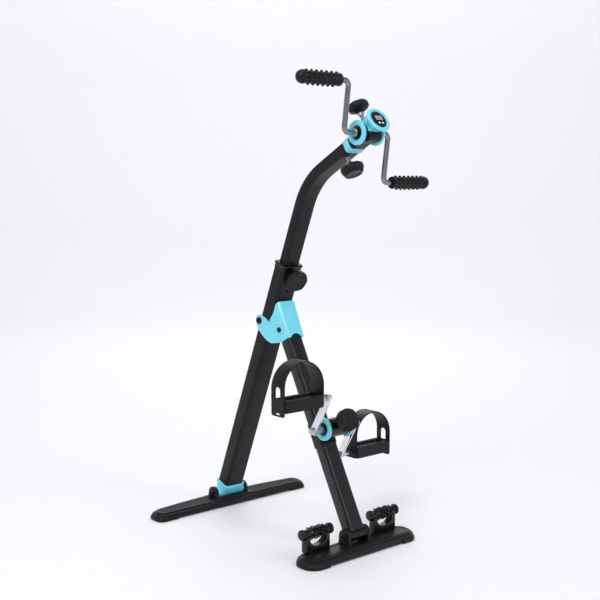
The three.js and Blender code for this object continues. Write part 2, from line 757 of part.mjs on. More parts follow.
function head() {
  const crank = group([0, 0, 0], HAND_CRANK_LEAN - POST_LEAN - MAST_BEND,
    mesh('hand_axle', handAxle(), paint.steel()),
    ...SIDES.flatMap(({ name, sign }) => [
      mesh(`hand_crank_${name}`, handCrank(sign), paint.chrome()),
      mesh(`grip_${name}`, grip(sign), paint.rubber()),
    ]));
  const padTop = DRUM_RADIUS + GAP + 6;
  const knob = at(clampKnob(4, 27, 21.5, 18).rotateX(-Math.PI / 2), 0, padTop + GAP, 0);
  return group([0, HEAD_RISE, HEAD_REACH], 0,
    mesh('head_housing', headHousing(), paint.moulded()),
    mesh('head_shell', headShell(), paint.blue()),
    mesh('display_bezel', displayBezel(), paint.moulded()),
    mesh('display_screen', displayScreen(), paint.screen()),
    mesh('head_brake_pad', onStem(brakePad()), paint.rubber()),
    mesh('resistance_knob', onStem(knob), paint.moulded()),
    ...SIDES.flatMap(({ name, sign }) => [
      mesh(`display_button_${name}`, displayButton(sign), paint.white()),
      mesh(`head_ring_${name}`, hubRing(HEAD_BARREL, sign), paint.blue()),
      mesh(`head_bearing_${name}`, bearing(HEAD_BARREL, sign), paint.steel()),
    ]),
    crank);
}

// ---------------------------------------------------------------- post assembly

function post() {
  const heightStop = MAST.depth / 2 + 2 * GAP;
  const heightKnob = clampKnob(5, 14, 23, 21).rotateX(Math.PI / 2);
  const lockStop = NECK.depth / 2 + 2 * GAP;
  const lockKnob = clampKnob(4, 20, 24, 21).rotateX(Math.PI / 2);
  const end = mastEnd();
  return group([0, 0, PIVOT_HEIGHT], POST_LEAN,
    mesh('rear_cuff', rearCuff(), paint.blue()),
    mesh('post_tube', postTube(), paint.satin()),
    mesh('post_bushing', postBushing(), paint.moulded()),
    ...SIDES.map(({ name, sign }) => mesh(`fold_screw_${name}`, foldScrew(sign), paint.steel())),
    mesh('height_knob', at(heightKnob, 0, -heightStop, HEIGHT_HOLE), paint.moulded()),
    mesh('mast_tube', mastTube(), paint.satin()),
    mesh('mast_glide', mastGlide(), paint.moulded()),
    group([0, end.y, end.z], MAST_BEND,
      mesh('mast_collar', mastCollar(), paint.blue()),
      mesh('head_lock_knob', at(lockKnob, 0, -lockStop, -LOCK_SETBACK), paint.moulded()),
      head()));
}

// ---------------------------------------------------------------- leg and foot crank

// Side view of the fold bracket from the fold pivot: a hood over the leg's top, whose back
// edge stops on the post's front face, and the cheeks that reach back to the fold screws.
const HOOD_FOOT = { y: -92, z: -28 };
const HOOD_TOP = { y: -58.5, z: 46 };

function bracketOutline() {
  const shape = new THREE.Shape();
  shape.moveTo(HOOD_TOP.y, HOOD_TOP.z);
  shape.lineTo(-50, 39);
  shape.lineTo(-33.4, -2);
  shape.quadraticCurveTo(-20, 8, -6.3, 11.9);
  shape.absarc(0, 0, 13.5, degrees(118), degrees(-30), true);
  shape.quadraticCurveTo(8, -20, -10, -32);
  shape.quadraticCurveTo(-25, -44, -41, -46);
  shape.lineTo(-69, -42);
  shape.lineTo(HOOD_FOOT.y, HOOD_FOOT.z);
  shape.lineTo(HOOD_TOP.y, HOOD_TOP.z);
  return shape;
}

// The bracket seen along its front face: a rounded nose that widens to the cheeks.
function bracketPlan() {
  const [nose, cheek, round] = [HOOD.half, CHEEK.outer, 7];
  const shape = new THREE.Shape();
  shape.moveTo(-nose + round, 0);
  shape.lineTo(nose - round, 0);
  shape.quadraticCurveTo(nose, 0, nose, round);
  shape.lineTo(nose, 26);
  shape.lineTo(cheek, 36);
  shape.lineTo(cheek, 160);
  shape.lineTo(-cheek, 160);
  shape.lineTo(-cheek, 36);
  shape.lineTo(-nose, 26);
  shape.lineTo(-nose, round);
  shape.quadraticCurveTo(-nose, 0, -nose + round, 0);
  return shape;
}

// Room for the post at rest and all the way through the fold.
function postSweep() {
  const lean = degrees(POST_LEAN);
  const face = POST.depth / 2 + foldOnPost().y + GAP;
  const far = 90;
  const rest = [-Math.cos(lean), -Math.sin(lean)];
  const turned = [-Math.cos(degrees(FOLD_TRAVEL) - lean), Math.sin(degrees(FOLD_TRAVEL) - lean)];
  const corner = face / Math.cos(degrees(FOLD_TRAVEL) / 2);
  const middle = lean - degrees(FOLD_TRAVEL) / 2;
  const apex = [-corner * Math.cos(middle), -corner * Math.sin(middle)];
  const shape = new THREE.Shape();
  shape.moveTo(...apex);
  shape.lineTo(apex[0] - far * turned[1], apex[1] + far * turned[0]);
  shape.lineTo(90, -90);
  shape.lineTo(90, 90);
  shape.lineTo(apex[0] + far * rest[1], apex[1] - far * rest[0]);
  shape.lineTo(...apex);
  return shape;
}

// Room for the leg, up to the hood's front wall and roof.
function legChannel() {
  const slope = (HOOD_TOP.y - HOOD_FOOT.y) / (HOOD_TOP.z - HOOD_FOOT.z);
  const front = (z) => HOOD_FOOT.y + slope * (z - HOOD_FOOT.z) + HOOD.front * Math.hypot(1, slope);
  const [roof, floor] = [36, -60];
  const shape = new THREE.Shape();
  shape.moveTo(front(floor), floor);
  shape.lineTo(40, floor);
  shape.lineTo(40, roof);
  shape.lineTo(front(roof), roof);
  shape.lineTo(front(floor), floor);
  return shape;
}

function foldBracket() {
  const wide = CHEEK.outer;
  const lean = Math.atan2(HOOD_TOP.y - HOOD_FOOT.y, HOOD_TOP.z - HOOD_FOOT.z);
  const plan = at(extruded(bracketPlan(), 240, 3), 0, 0, -120).rotateX(-lean);
  const outer = common(
    extrudedX(bracketOutline(), -wide, wide, 3), at(plan, 0, HOOD_FOOT.y, HOOD_FOOT.z));
  const arch = at(barY(18, -130, -75), 0, 0, HOOD_FOOT.z - 11);
  const bolt = legBoltFromFold();
  return cut(
    outer,
    extrudedX(postSweep(), -CHEEK.inner, CHEEK.inner),
    extrudedX(legChannel(), -HOOD.inner, HOOD.inner),
    arch,
    barX(4 + GAP, -50, 50, SMALL),
    at(barX(3 + GAP, -50, 50, SMALL), 0, bolt.y, bolt.z));
}

function legBoltFromFold() {
  const [sin, cos] = [Math.sin(degrees(LEG_LEAN)), Math.cos(degrees(LEG_LEAN))];
  return {
    y: LEG_FOOT_Y + LEG_BOLT * sin - FOLD_Y,
    z: LEG_FOOT_Z + LEG_BOLT * cos - FOLD_Z,
  };
}

// Leg tube with the barrel that turns between the front base's ears welded on its foot.
function legTube() {
  const shell = at(extruded(hollowSection(LEG), LEG_TOP - 6), 0, 0, 6);
  const barrel = barX(EAR_RADIUS - 1, -FRONT_EARS.inner + GAP, FRONT_EARS.inner - GAP);
  const boltHole = at(barX(3 + GAP, -50, 50, SMALL), 0, 0, LEG_BOLT);
  return cut(join(shell, barrel), barX(4 + GAP, -50, 50, SMALL), boltHole);
}

// Sleeve round the leg and the crank barrel in front of it, as one moulding.
function crankSaddle() {
  const sleeve = { width: LEG.width + 4, depth: LEG.depth + 4, corner: 8 };
  const web = block(
    [-18, -FOOT_CRANK_FORWARD, FOOT_CRANK_UP - 16], [18, -LEG.depth / 2, FOOT_CRANK_UP + 16]);
  const place = (geometry) => at(geometry, 0, -FOOT_CRANK_FORWARD, FOOT_CRANK_UP);
  const barrel = place(barX(BARREL_RADIUS, -LEG_BARREL, LEG_BARREL, FINE));
  const body = join(
    sectionBar(sleeve, FOOT_CRANK_UP - 28, FOOT_CRANK_UP + 26), web, barrel);
  const padBore = place(barY(5 + GAP, -40, 0, SMALL));
  return cut(body, sectionBar(LEG, 100, 400, GAP), place(bearingSeat()), padBore);
}

// Foot crank axle: brake drum in the middle, a thinner seat and a screwed end for each arm.
function footAxle() {
  const [shoulder, seat] = [ARM_X - ARM_THICKNESS / 2 - GAP, 6];
  const [end, drum] = [ARM_X + 9, DRUM_HALF_WIDTH];
  return turnedX([
    [0, -end], [seat, -end], [seat, -shoulder], [AXLE_RADIUS, -shoulder],
    [AXLE_RADIUS, -drum], [DRUM_RADIUS, -drum], [DRUM_RADIUS, drum], [AXLE_RADIUS, drum],
    [AXLE_RADIUS, shoulder], [seat, shoulder], [seat, end], [0, end],
  ], ROUND);
}

function crankArm(sign) {
  const reach = -sign * FOOT_CRANK_RADIUS;
  const [width, tip] = [8.5, 7.5];
  const shape = new THREE.Shape();
  shape.absarc(0, 0, width, Math.PI, 2 * Math.PI);
  shape.absarc(0, FOOT_CRANK_RADIUS, tip, 0, Math.PI);
  const bar = extrudedX(shape, -ARM_THICKNESS / 2, ARM_THICKNESS / 2, 4);
  if (sign > 0) bar.rotateX(Math.PI);
  const bored = cut(bar, barX(6 + GAP, -9, 9, SMALL), at(barX(5 + GAP, -9, 9, SMALL), 0, 0, reach));
  return at(bored, sign * ARM_X, 0, 0);
}

// Pedal axle: screwed into the arm, with a collar outside it.
function pedalAxle(sign) {
  const inner = ARM_X - ARM_THICKNESS / 2 - 3;
  const face = ARM_X + ARM_THICKNESS / 2 + GAP;
  const pin = turnedX([
    [0, inner], [5, inner], [5, face], [8, face], [8, face + 1.6], [5, face + 1.6],
    [5, PEDAL_X + PEDAL_HALF_LENGTH - 8], [0, PEDAL_X + PEDAL_HALF_LENGTH - 8],
  ], SMALL);
  if (sign < 0) pin.rotateZ(Math.PI);
  return at(pin, 0, 0, -sign * FOOT_CRANK_RADIUS);
}

// Pedal body, drawn for the right side about its own axle: two rails, a bored hub, two cheeks.
function pedalBody() {
  const [half, depth, rail] = [PEDAL_HALF_LENGTH - 3.4, PEDAL_DEPTH / 2, 12];
  const rails = SIDES.map(({ sign }) => {
    const [y0, y1] = [depth * sign, (depth - 9) * sign].sort((a, b) => a - b);
    return block([-half, y0, -rail], [half, y1, rail]);
  });
  const cheeks = SIDES.map(({ sign }) => {
    const [x0, x1] = [half * sign, (half - 4) * sign].sort((a, b) => a - b);
    return block([x0, -depth, -rail], [x1, depth, rail]);
  });
  const rib = block([-half, -depth + 2, -3], [half, depth - 2, 3]);
  const hub = barX(9, -half, half, SMALL);
  return cut(join(hub, ...rails, ...cheeks, rib), barX(5 + GAP, -60, half - 3, SMALL));
}

// Foot strap: an arch over the pedal, wide at its outer end where the window and holes are.
function pedalStrap() {
  const [half, thick] = [PEDAL_HALF_LENGTH, 3];
  const [spring, innerFoot, outerFoot] = [34, -12, -20];
  const crown = STRAP_TOP - spring;
  const shape = new THREE.Shape();
  shape.moveTo(-half, innerFoot);
  shape.lineTo(-half + thick, innerFoot);
  shape.lineTo(-half + thick, spring);
  shape.absellipse(0, spring, half - thick, crown - thick, Math.PI, 0, true, 0);
  shape.lineTo(half - thick, outerFoot);
  shape.lineTo(half, outerFoot);
  shape.lineTo(half, spring);
  shape.absellipse(0, spring, half, crown, 0, Math.PI, false, 0);
  shape.lineTo(-half, innerFoot);
  const band = extrudedY(shape, PEDAL_DEPTH - 2, 9);
  const reach = [half - thick - 2, half + 2];
  const window = at(barX(8, ...reach, ROUND), 0, 0, 30);
  const windowFoot = block([reach[0], -8, 16], [reach[1], 8, 30]);
  const holes = [-14, 14].flatMap((y) =>
    [19, 27].map((z) => at(barX(1.6, ...reach, 10), 0, y, z)));
  const slot = block([reach[0], -9, -17], [reach[1], 9, -13.5]);
  const axleHole = barX(5 + 2 * GAP, -half - 2, -half + thick + 2);
  return cut(band, join(window, windowFoot), ...holes, slot, axleHole);
}

// The strap and body of one pedal, mirrored for the left by turning it end for end.
function pedal(name, sign, level) {
  const turned = (geometry) => (sign < 0 ? geometry.rotateZ(Math.PI) : geometry);
  return group([sign * PEDAL_X, 0, -sign * FOOT_CRANK_RADIUS], level,
    mesh(`pedal_${name}`, turned(pedalBody()), paint.moulded()),
    mesh(`pedal_strap_${name}`, turned(pedalStrap()), paint.rubber()));
}

function leg() {
  const crank = group([0, -FOOT_CRANK_FORWARD, FOOT_CRANK_UP], LEG_LEAN + FOOT_CRANK_LEAN,
    mesh('foot_axle', footAxle(), paint.steel()),
    ...SIDES.flatMap(({ name, sign }) => [
      mesh(`crank_arm_${name}`, crankArm(sign), paint.chrome()),
      mesh(`pedal_axle_${name}`, pedalAxle(sign), paint.steel()),
      pedal(name, sign, -FOOT_CRANK_LEAN),
    ]));
  const padTop = DRUM_RADIUS + GAP + 6;
  const knob = at(clampKnob(4, 11, 24, 26).rotateX(Math.PI / 2), 0, -padTop - GAP, 0);
  const bolt = at(pivotBolt(HOOD.half + GAP, 3, 6, 3), 0, 0, LEG_BOLT);
  return group([0, LEG_FOOT_Y, LEG_FOOT_Z], -LEG_LEAN,
    mesh('leg_tube', legTube(), paint.gloss()),
    mesh('leg_bolt', bolt, paint.steel()),
    mesh('crank_saddle', crankSaddle(), paint.moulded()),
    group([0, -FOOT_CRANK_FORWARD, FOOT_CRANK_UP], 0,
      mesh('foot_brake_pad', brakePad().rotateX(Math.PI), paint.rubber()),
      mesh('tension_knob', knob, paint.moulded()),
      ...SIDES.flatMap(({ name, sign }) => [
        mesh(`leg_ring_${name}`, hubRing(LEG_BARREL, sign), paint.blue()),
        mesh(`leg_bearing_${name}`, bearing(LEG_BARREL, sign), paint.steel()),
      ])),
    crank);
}

// ---------------------------------------------------------------- whole machine

const machine = group([0, CENTRE_Y, 0], 0,
  rearBase(),
  post(),
  group([0, FOLD_Y, FOLD_Z], 0, mesh('fold_bracket', foldBracket(), paint.blue())),
  leg(),
  frontBase());

export default machine;
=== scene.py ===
"""Looks of the folding pedal exerciser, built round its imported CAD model.

Forms are drawn in millimetres in the local frame of the piece they belong to, and a matrix
from the CAD joints puts them in the row frame, in metres: +Z up, X along the crank axles,
-Y towards the person who uses the machine.
"""

import json
import math

import bmesh
import bpy
from mathutils import Matrix, Vector


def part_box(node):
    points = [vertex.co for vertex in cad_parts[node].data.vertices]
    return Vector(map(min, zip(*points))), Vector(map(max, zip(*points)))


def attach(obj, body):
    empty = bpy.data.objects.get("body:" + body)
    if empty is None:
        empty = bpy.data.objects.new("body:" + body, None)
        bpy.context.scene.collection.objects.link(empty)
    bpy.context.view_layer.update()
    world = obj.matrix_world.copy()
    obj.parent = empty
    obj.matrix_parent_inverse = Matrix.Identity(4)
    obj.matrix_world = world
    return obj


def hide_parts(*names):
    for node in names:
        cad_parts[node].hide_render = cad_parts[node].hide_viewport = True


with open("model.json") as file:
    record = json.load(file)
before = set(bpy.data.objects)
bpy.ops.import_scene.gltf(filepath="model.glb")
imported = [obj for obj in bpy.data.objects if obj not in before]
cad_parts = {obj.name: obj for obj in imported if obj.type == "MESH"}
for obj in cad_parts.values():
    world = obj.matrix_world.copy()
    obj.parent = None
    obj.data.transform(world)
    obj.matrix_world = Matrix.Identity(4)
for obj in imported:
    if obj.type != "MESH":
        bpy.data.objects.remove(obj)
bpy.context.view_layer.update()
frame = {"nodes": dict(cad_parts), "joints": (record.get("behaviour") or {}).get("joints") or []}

MM = 0.001
JOINTS = {joint["name"]: joint for joint in frame["joints"]}
SIDES = {"left": -1, "right": 1}

# ------------------------------------------------------------------ driving dimensions, mm

POST_LEAN, MAST_BEND, LEG_LEAN = 22.3, 39.1, 28.0
HAND_LEAN, FOOT_LEAN, DISPLAY_TILT = 7.7, 30.0, 6.0

POST = {"width": 50, "depth": 35, "corner": 6, "foot": 16, "top": 594}
MAST = {"width": 40, "depth": 24, "corner": 5, "foot": 353, "bend": 734, "radius": 150, "end": 100}
LEG = {"width": 40, "depth": 29, "corner": 6, "foot": 6, "top": 484}
NECK = {"width": 35.6, "depth": 19.6, "corner": 3}
HEIGHT_HOLE, HOLE_PITCH, LOCK_SETBACK = 576, 28.0, 31
PIVOT_HEIGHT, EAR_RADIUS = 28, 15
GAP, DRUM_RADIUS, PAD_THICKNESS = 0.3, 12.0, 6.0
PAD_SEAT = DRUM_RADIUS + PAD_THICKNESS + 2 * GAP
TUBE_SEAT = 0.6

BARREL_RADIUS, RING_RADIUS, RING_WIDTH = 20.0, 24.6, 7.6
HEAD_BARREL, LEG_BARREL = 22.0, 28.0
HEAD_REACH, HEAD_RISE = 37.0, 3.0
DISPLAY_Y, DISPLAY_Z, DISPLAY_RADIUS = 5.2, 39.0, 18.0
STEM_FORWARD = 4.0

HAND_RADIUS, ROD_RADIUS, ROD_X, ROD_BEND = 97.0, 5.5, 60.0, 11.0
GRIP_START, GRIP_END, GRIP_RADIUS = 83.0, 189.0, 12.0

FOOT_FORWARD, FOOT_UP, FOOT_RADIUS = 45.0, 218.0, 89.0
ARM_X, ARM_THICKNESS = 58.0, 5.0
PEDAL_X, PEDAL_HALF, PEDAL_DEPTH, STRAP_SPRING, STRAP_TOP = 138.0, 51.5, 42.0, 34.0, 85.0

LEG_BOLT, CHEEK = 457.0, 28.6

REAR_HALF, REAR_FRONT, REAR_BACK_END, REAR_BACK = 212.0, -34.0, 12.0, 26.0
REAR_CORNER, SHOE_LENGTH = 15.0, 46.0
FRONT_HALF, FRONT_DEPTH = 150.0, 31.0
BEAM_BOTTOM, BEAM_EDGE_TOP, BEAM_TOP, FOOT_TOP = 3.0, 15.0, 19.0, 10.0
ROLLER_X, ROLLER_HEIGHT = 94.0, 57.0

# ------------------------------------------------------------------ local frames


def joint_point(name):
    return Vector(JOINTS[name]["pos_m"])


def place(point, turn=0.0):
    """A millimetre frame at a point of the row frame, turned about X by so many degrees."""
    turned = Matrix.Rotation(math.radians(turn), 4, "X")
    return Matrix.Translation(point) @ turned @ Matrix.Scale(MM, 4)


def shifted(matrix, x=0.0, y=0.0, z=0.0):
    return matrix @ Matrix.Translation((x, y, z))


REAR_AT = place(Vector((0, joint_point("post_pivot").y, 0)))
POST_AT = place(joint_point("post_pivot"), POST_LEAN)
END_LEAN = POST_LEAN + MAST_BEND
MAST_END_AT = shifted(place(joint_point("head_lock_turn"), END_LEAN), z=LOCK_SETBACK)
HEAD_AT = place(joint_point("hand_crank_turn"), END_LEAN)
DISPLAY_TURN = Matrix.Rotation(-math.radians(DISPLAY_TILT), 4, "X")
DISPLAY_AT = shifted(HEAD_AT, y=DISPLAY_Y, z=DISPLAY_Z) @ DISPLAY_TURN
HAND_AT = place(joint_point("hand_crank_turn"), HAND_LEAN)
FOLD_AT = place(joint_point("leg_fold"))
LEG_AT = place(joint_point("front_base_pivot"), -LEG_LEAN)
LEG_CRANK_AT = shifted(LEG_AT, y=-FOOT_FORWARD, z=FOOT_UP)
FOOT_AT = place(joint_point("foot_crank_turn"), FOOT_LEAN)
PEDAL_AT = {side: place(joint_point(f"pedal_{side}_turn")) for side in SIDES}
ROLLER_AT = {side: place(joint_point(f"roller_{side}_turn")) for side in SIDES}


def middle_of(node):
    low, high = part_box(node)
    return (low + high) / 2


FRONT_AT = place(Vector((0, middle_of("front_base_foot_left").y, 0)))

# ------------------------------------------------------------------ forms


class Form:
    """Points in millimetres and the faces between them."""

    def __init__(self, points=(), faces=()):
        self.points = [Vector(point) for point in points]
        self.faces = [list(face) for face in faces]

    def __add__(self, other):
        start = len(self.points)
        faces = [[index + start for index in face] for face in other.faces]
        return Form(self.points + other.points, self.faces + faces)

    def through(self, matrix):
        return Form([matrix @ point for point in self.points], self.faces)

    def moved(self, x=0.0, y=0.0, z=0.0):
        return self.through(Matrix.Translation((x, y, z)))

    def turned(self, degrees, axis="X"):
        return self.through(Matrix.Rotation(math.radians(degrees), 4, axis))


def together(forms):
    total = Form()
    for form in forms:
        total = total + form
    return total


def loft(rings, closed=False):
    """A skin over rings of equally many points, capped at both ends unless it closes."""
    count = len(rings[0])
    points = [point for ring in rings for point in ring]
    faces = []
    last = len(rings) - 1
    steps = [(a, a + 1) for a in range(last)] + ([(last, 0)] if closed else [])
    for a, b in steps:
        for i in range(count):
            j = (i + 1) % count
            faces.append([a * count + i, a * count + j, b * count + j, b * count + i])
    if not closed:
        faces.append(list(reversed(range(count))))
        faces.append([last * count + i for i in range(count)])
    return Form(points, faces)


def lathe(profile, sides=64, closed=False):
    """A turned form about X. The profile is a list of (station, radius)."""
    rings = []
    for station, radius in profile:
        ring = []
        for i in range(sides):
            angle = 2 * math.pi * i / sides
            ring.append((station, radius * math.cos(angle), radius * math.sin(angle)))
        rings.append(ring)
    return loft(rings, closed)


def lathe_z(profile, sides=64, closed=False):
    """A turned form about Z. The profile is a list of (height, radius)."""
    return lathe(profile, sides, closed).turned(-90, "Y")


def arc(x, y, radius, start, end, steps=8):
    points = []
    for i in range(steps + 1):
        angle = math.radians(start + (end - start) * i / steps)
        points.append((x + radius * math.cos(angle), y + radius * math.sin(angle)))
    return points


def rounded(width, depth, corner, steps=7):
    x, y = width / 2 - corner, depth / 2 - corner
    corners = [(x, y, 0), (-x, y, 90), (-x, -y, 180), (x, -y, 270)]
    outline = []
    for cx, cy, start in corners:
        outline += arc(cx, cy, corner, start, start + 90, steps)
    return outline


def soft_levels(low, high, radius, steps=4):
    """Heights and insets of a wall with both its edges rounded."""
    levels = []
    for i in range(steps + 1):
        angle = math.radians(90 * i / steps)
        rise, inset = radius * (1 - math.cos(angle)), radius * (1 - math.sin(angle))
        levels.append((low + rise, -inset))
    return levels + [(low + high - z, grow) for z, grow in reversed(levels)]


def stack(outline, levels):
    """An outline(grow) of X and Y, stacked over (height, grow) levels."""
    return loft([[(x, y, z) for x, y in outline(grow)] for z, grow in levels])


def section_stack(tube, levels):
    """A tube's rounded section, stacked over (height, grow) levels."""
    def outline(grow):
        corner = max(tube["corner"] + grow, 0.5)
        return rounded(tube["width"] + 2 * grow, tube["depth"] + 2 * grow, corner)

    return stack(outline, levels)


def slab_x(outline, x0, x1, radius=0.8, steps=3):
    """An outline of Y and Z, as a plate across X with its edges eased."""
    centre = Vector((sum(p[0] for p in outline), sum(p[1] for p in outline))) / len(outline)
    rings = []
    for x, inset in soft_levels(x0, x1, radius, steps):
        ring = []
        for i, point in enumerate(outline):
            here = Vector(point)
            before, after = Vector(outline[i - 1]), Vector(outline[(i + 1) % len(outline)])
            along = after - before
            if along.length < 1e-9:
                along = Vector((centre.y - here.y, here.x - centre.x))
            outward = Vector((along.y, -along.x)).normalized()
            moved = here + outward * inset
            ring.append((x, moved.x, moved.y))
        rings.append(ring)
    return loft(rings)


def bent_path(corners, radius, steps=10):
    """Points and headings along straight runs with a round bend at each inner corner."""
    points = [Vector(corner) for corner in corners]
    stations = [(points[0], (points[1] - points[0]).normalized())]
    for i in range(1, len(points) - 1):
        before = (points[i] - points[i - 1]).normalized()
        after = (points[i + 1] - points[i]).normalized()
        turn = before.angle(after)
        start = points[i] - before * radius * math.tan(turn / 2)
        inward = (after - before * after.dot(before)).normalized()
        for k in range(steps + 1):
            angle = turn * k / steps
            point = start + before * radius * math.sin(angle)
            point += inward * radius * (1 - math.cos(angle))
            stations.append((point, before * math.cos(angle) + inward * math.sin(angle)))
    stations.append((points[-1], (points[-1] - points[-2]).normalized()))
    return stations


def sweep(section, path, side):
    """A section of (across, up) points carried along a path; side fixes where across points."""
    rings = []
    for point, heading in path:
        across = (side - heading * side.dot(heading)).normalized()
        up = heading.cross(across)
        rings.append([point + across * a + up * b for a, b in section])
    return loft(rings)


def circle(radius, sides=32):
    return arc(0, 0, radius, 0, 360 * (sides - 1) / sides, sides - 1)


def box_form(low, high):
    x0, y0, z0 = low
    x1, y1, z1 = high
    rings = [[(x, y0, z0), (x, y1, z0), (x, y1, z1), (x, y0, z1)] for x in (x0, x1)]
    return loft(rings)


def peg(radius, height, tip, sides=12):
    """A rounded stud along +Z from the origin, such as a grip's bump or a roller's tooth."""
    profile = [(-1.0, radius), (0.0, radius), (height - tip, tip * 1.05)]
    for angle in (30, 60, 85):
        turn = math.radians(angle)
        profile.append((height - tip + tip * math.sin(turn), tip * math.cos(turn)))
    return lathe_z(profile, sides)


# ------------------------------------------------------------------ from form to piece


def linked(name, data):
    thing = bpy.data.objects.new(name, data)
    bpy.context.scene.collection.objects.link(thing)
    return thing


def raw_object(name, form, matrix):
    mesh = bpy.data.meshes.new(name)
    mesh.from_pydata([matrix @ point for point in form.points], [], form.faces)
    draft = bmesh.new()
    draft.from_mesh(mesh)
    bmesh.ops.remove_doubles(draft, verts=draft.verts, dist=2e-6)
    bmesh.ops.recalc_face_normals(draft, faces=draft.faces)
    draft.to_mesh(mesh)
    draft.free()
    return linked(name, mesh)


def settle(thing):
    """Bakes an object's modifiers into its mesh."""
    bpy.context.view_layer.update()
    graph = bpy.context.evaluated_depsgraph_get()
    baked = bpy.data.meshes.new_from_object(thing.evaluated_get(graph))
    old = thing.data
    thing.modifiers.clear()
    thing.data = baked
    bpy.data.meshes.remove(old)


def carve(thing, cutters, overlapping):
    """Cuts forms away. Overlapping is for a thing whose own forms run into each other."""
    for index, (form, matrix) in enumerate(cutters):
        tool = raw_object(f"cutter_{index}", form, matrix)
        cut = thing.modifiers.new("cut", "BOOLEAN")
        cut.operation = "DIFFERENCE"
        cut.solver = "EXACT"
        cut.use_self = overlapping
        cut.object = tool
        settle(thing)
        bpy.data.objects.remove(tool)


def fuse(thing, voxel, passes):
    """Melts overlapping forms into one casting with soft inner corners."""
    melt = thing.modifiers.new("melt", "REMESH")
    melt.mode = "VOXEL"
    melt.voxel_size = voxel * MM
    soft = thing.modifiers.new("soft", "CORRECTIVE_SMOOTH")
    soft.iterations = passes
    soft.use_only_smooth = True
    settle(thing)


def bevel(thing, width, angle=30, segments=3):
    edge = thing.modifiers.new("edge", "BEVEL")
    edge.width = width * MM
    edge.segments = segments
    edge.limit_method = "ANGLE"
    edge.angle_limit = math.radians(angle)
    edge.use_clamp_overlap = True
    settle(thing)


def finish_surface(thing, material, sharp):
    thing.data.shade_smooth()
    thing.data.set_sharp_from_angle(angle=math.radians(sharp))
    thing.data.materials.clear()
    thing.data.materials.append(material)


def piece(name, body, material, form, matrix, nodes=(), cuts=(), melt=None, edge=None, sharp=38):
    """One visible piece: its form, cut and rounded, riding its body in place of CAD nodes."""
    thing = raw_object(name, form, matrix)
    if melt:
        fuse(thing, *melt)
    if cuts:
        carve(thing, cuts, not melt)
    if edge:
        bevel(thing, edge)
    finish_surface(thing, material, sharp)
    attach(thing, body)
    if nodes:
        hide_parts(*nodes)


# ------------------------------------------------------------------ materials


def surface(name, color, roughness, metallic=0.0, grain=None, mottle=0.0, smudge=0.0, coat=0.0,
            shine=0.5):
    """A shader whose grain is (size in mm, bump depth in mm) and whose colour and gloss drift."""
    material = bpy.data.materials.new(name)
    material.use_nodes = True
    nodes, links = material.node_tree.nodes, material.node_tree.links
    shader = nodes["Principled BSDF"]
    for socket, value in (("Metallic", metallic), ("Specular IOR Level", shine),
                          ("Coat Weight", coat), ("Coat Roughness", 0.08)):
        shader.inputs[socket].default_value = value
    local = nodes.new("ShaderNodeTexCoord")

    def noise(scale, detail):
        texture = nodes.new("ShaderNodeTexNoise")
        texture.inputs["Scale"].default_value = scale
        texture.inputs["Detail"].default_value = detail
        links.new(local.outputs["Object"], texture.inputs["Vector"])
        return texture.outputs["Fac"]

    drift = noise(28.0, 6.0)
    ramp = nodes.new("ShaderNodeValToRGB")
    tones = zip(ramp.color_ramp.elements, (0.3, 0.7), (1 - mottle, 1 + mottle))
    for element, position, tone in tones:
        element.position = position
        element.color = (*(min(channel * tone, 1.0) for channel in color), 1)
    links.new(drift, ramp.inputs["Fac"])
    links.new(ramp.outputs["Color"], shader.inputs["Base Color"])

    gloss = noise(75.0, 8.0)
    spread = nodes.new("ShaderNodeMapRange")
    spread.inputs["To Min"].default_value = max(roughness - smudge, 0.02)
    spread.inputs["To Max"].default_value = min(roughness + smudge, 1.0)
    links.new(gloss, spread.inputs["Value"])
    links.new(spread.outputs["Result"], shader.inputs["Roughness"])

    if grain:
        size, depth = grain
        pits = noise(1 / (size * MM), 3.0)
        bump = nodes.new("ShaderNodeBump")
        bump.inputs["Distance"].default_value = depth * MM
        bump.inputs["Strength"].default_value = 0.6
        links.new(pits, bump.inputs["Height"])
        links.new(bump.outputs["Normal"], shader.inputs["Normal"])
    return material


PAINT_BLACK, PLASTIC_BLACK = (0.004, 0.004, 0.0045), (0.006, 0.006, 0.0065)
SATIN = surface("satin_powder_coat", PLASTIC_BLACK, 0.4, grain=(0.5, 0.05), mottle=0.12,
                smudge=0.05, shine=0.24)
GLOSS = surface("gloss_paint", PAINT_BLACK, 0.15, grain=(3.0, 0.02), mottle=0.08,
                smudge=0.04, coat=0.12, shine=0.4)
MOULDED = surface("moulded_plastic", PLASTIC_BLACK, 0.4, grain=(0.6, 0.08), mottle=0.12,
                  smudge=0.07, shine=0.26)
SHINY = surface("polished_plastic", PAINT_BLACK, 0.2, grain=(1.2, 0.03), mottle=0.1,
                smudge=0.05, shine=0.36)
RUBBER = surface("matt_rubber", (0.005, 0.005, 0.005), 0.42, grain=(0.8, 0.06), mottle=0.15,
                 smudge=0.08, shine=0.26)
BLUE = surface("blue_plastic", (0.19, 0.72, 0.85), 0.22, grain=(1.6, 0.02), mottle=0.03,
               smudge=0.04, coat=0.2)
CHROME = surface("chrome_plate", (0.74, 0.75, 0.77), 0.09, 1.0, (4.0, 0.01), 0.03, 0.04)
# Darker copy of the chrome plate for the hand crank's rods: painted shade, the same plating as the
# arms darkened to stand in for the dark reflections the rods carry.
SHADED_ROD_CHROME = surface("shaded_rod_chrome", (0.27, 0.27, 0.28), 0.1, 1.0, (4.0, 0.01), 0.05, 0.04)
STEEL = surface("machined_steel", (0.52, 0.53, 0.55), 0.28, 1.0, (0.5, 0.03), 0.06, 0.08)
LCD = surface("display_glass", (0.32, 0.33, 0.32), 0.12, grain=(0.9, 0.02), mottle=0.08,
              smudge=0.03, coat=0.5)
WHITE = surface("white_button", (0.82, 0.83, 0.84), 0.3, grain=(0.8, 0.02), mottle=0.04,
                smudge=0.05)


# ------------------------------------------------------------------ shared hardware


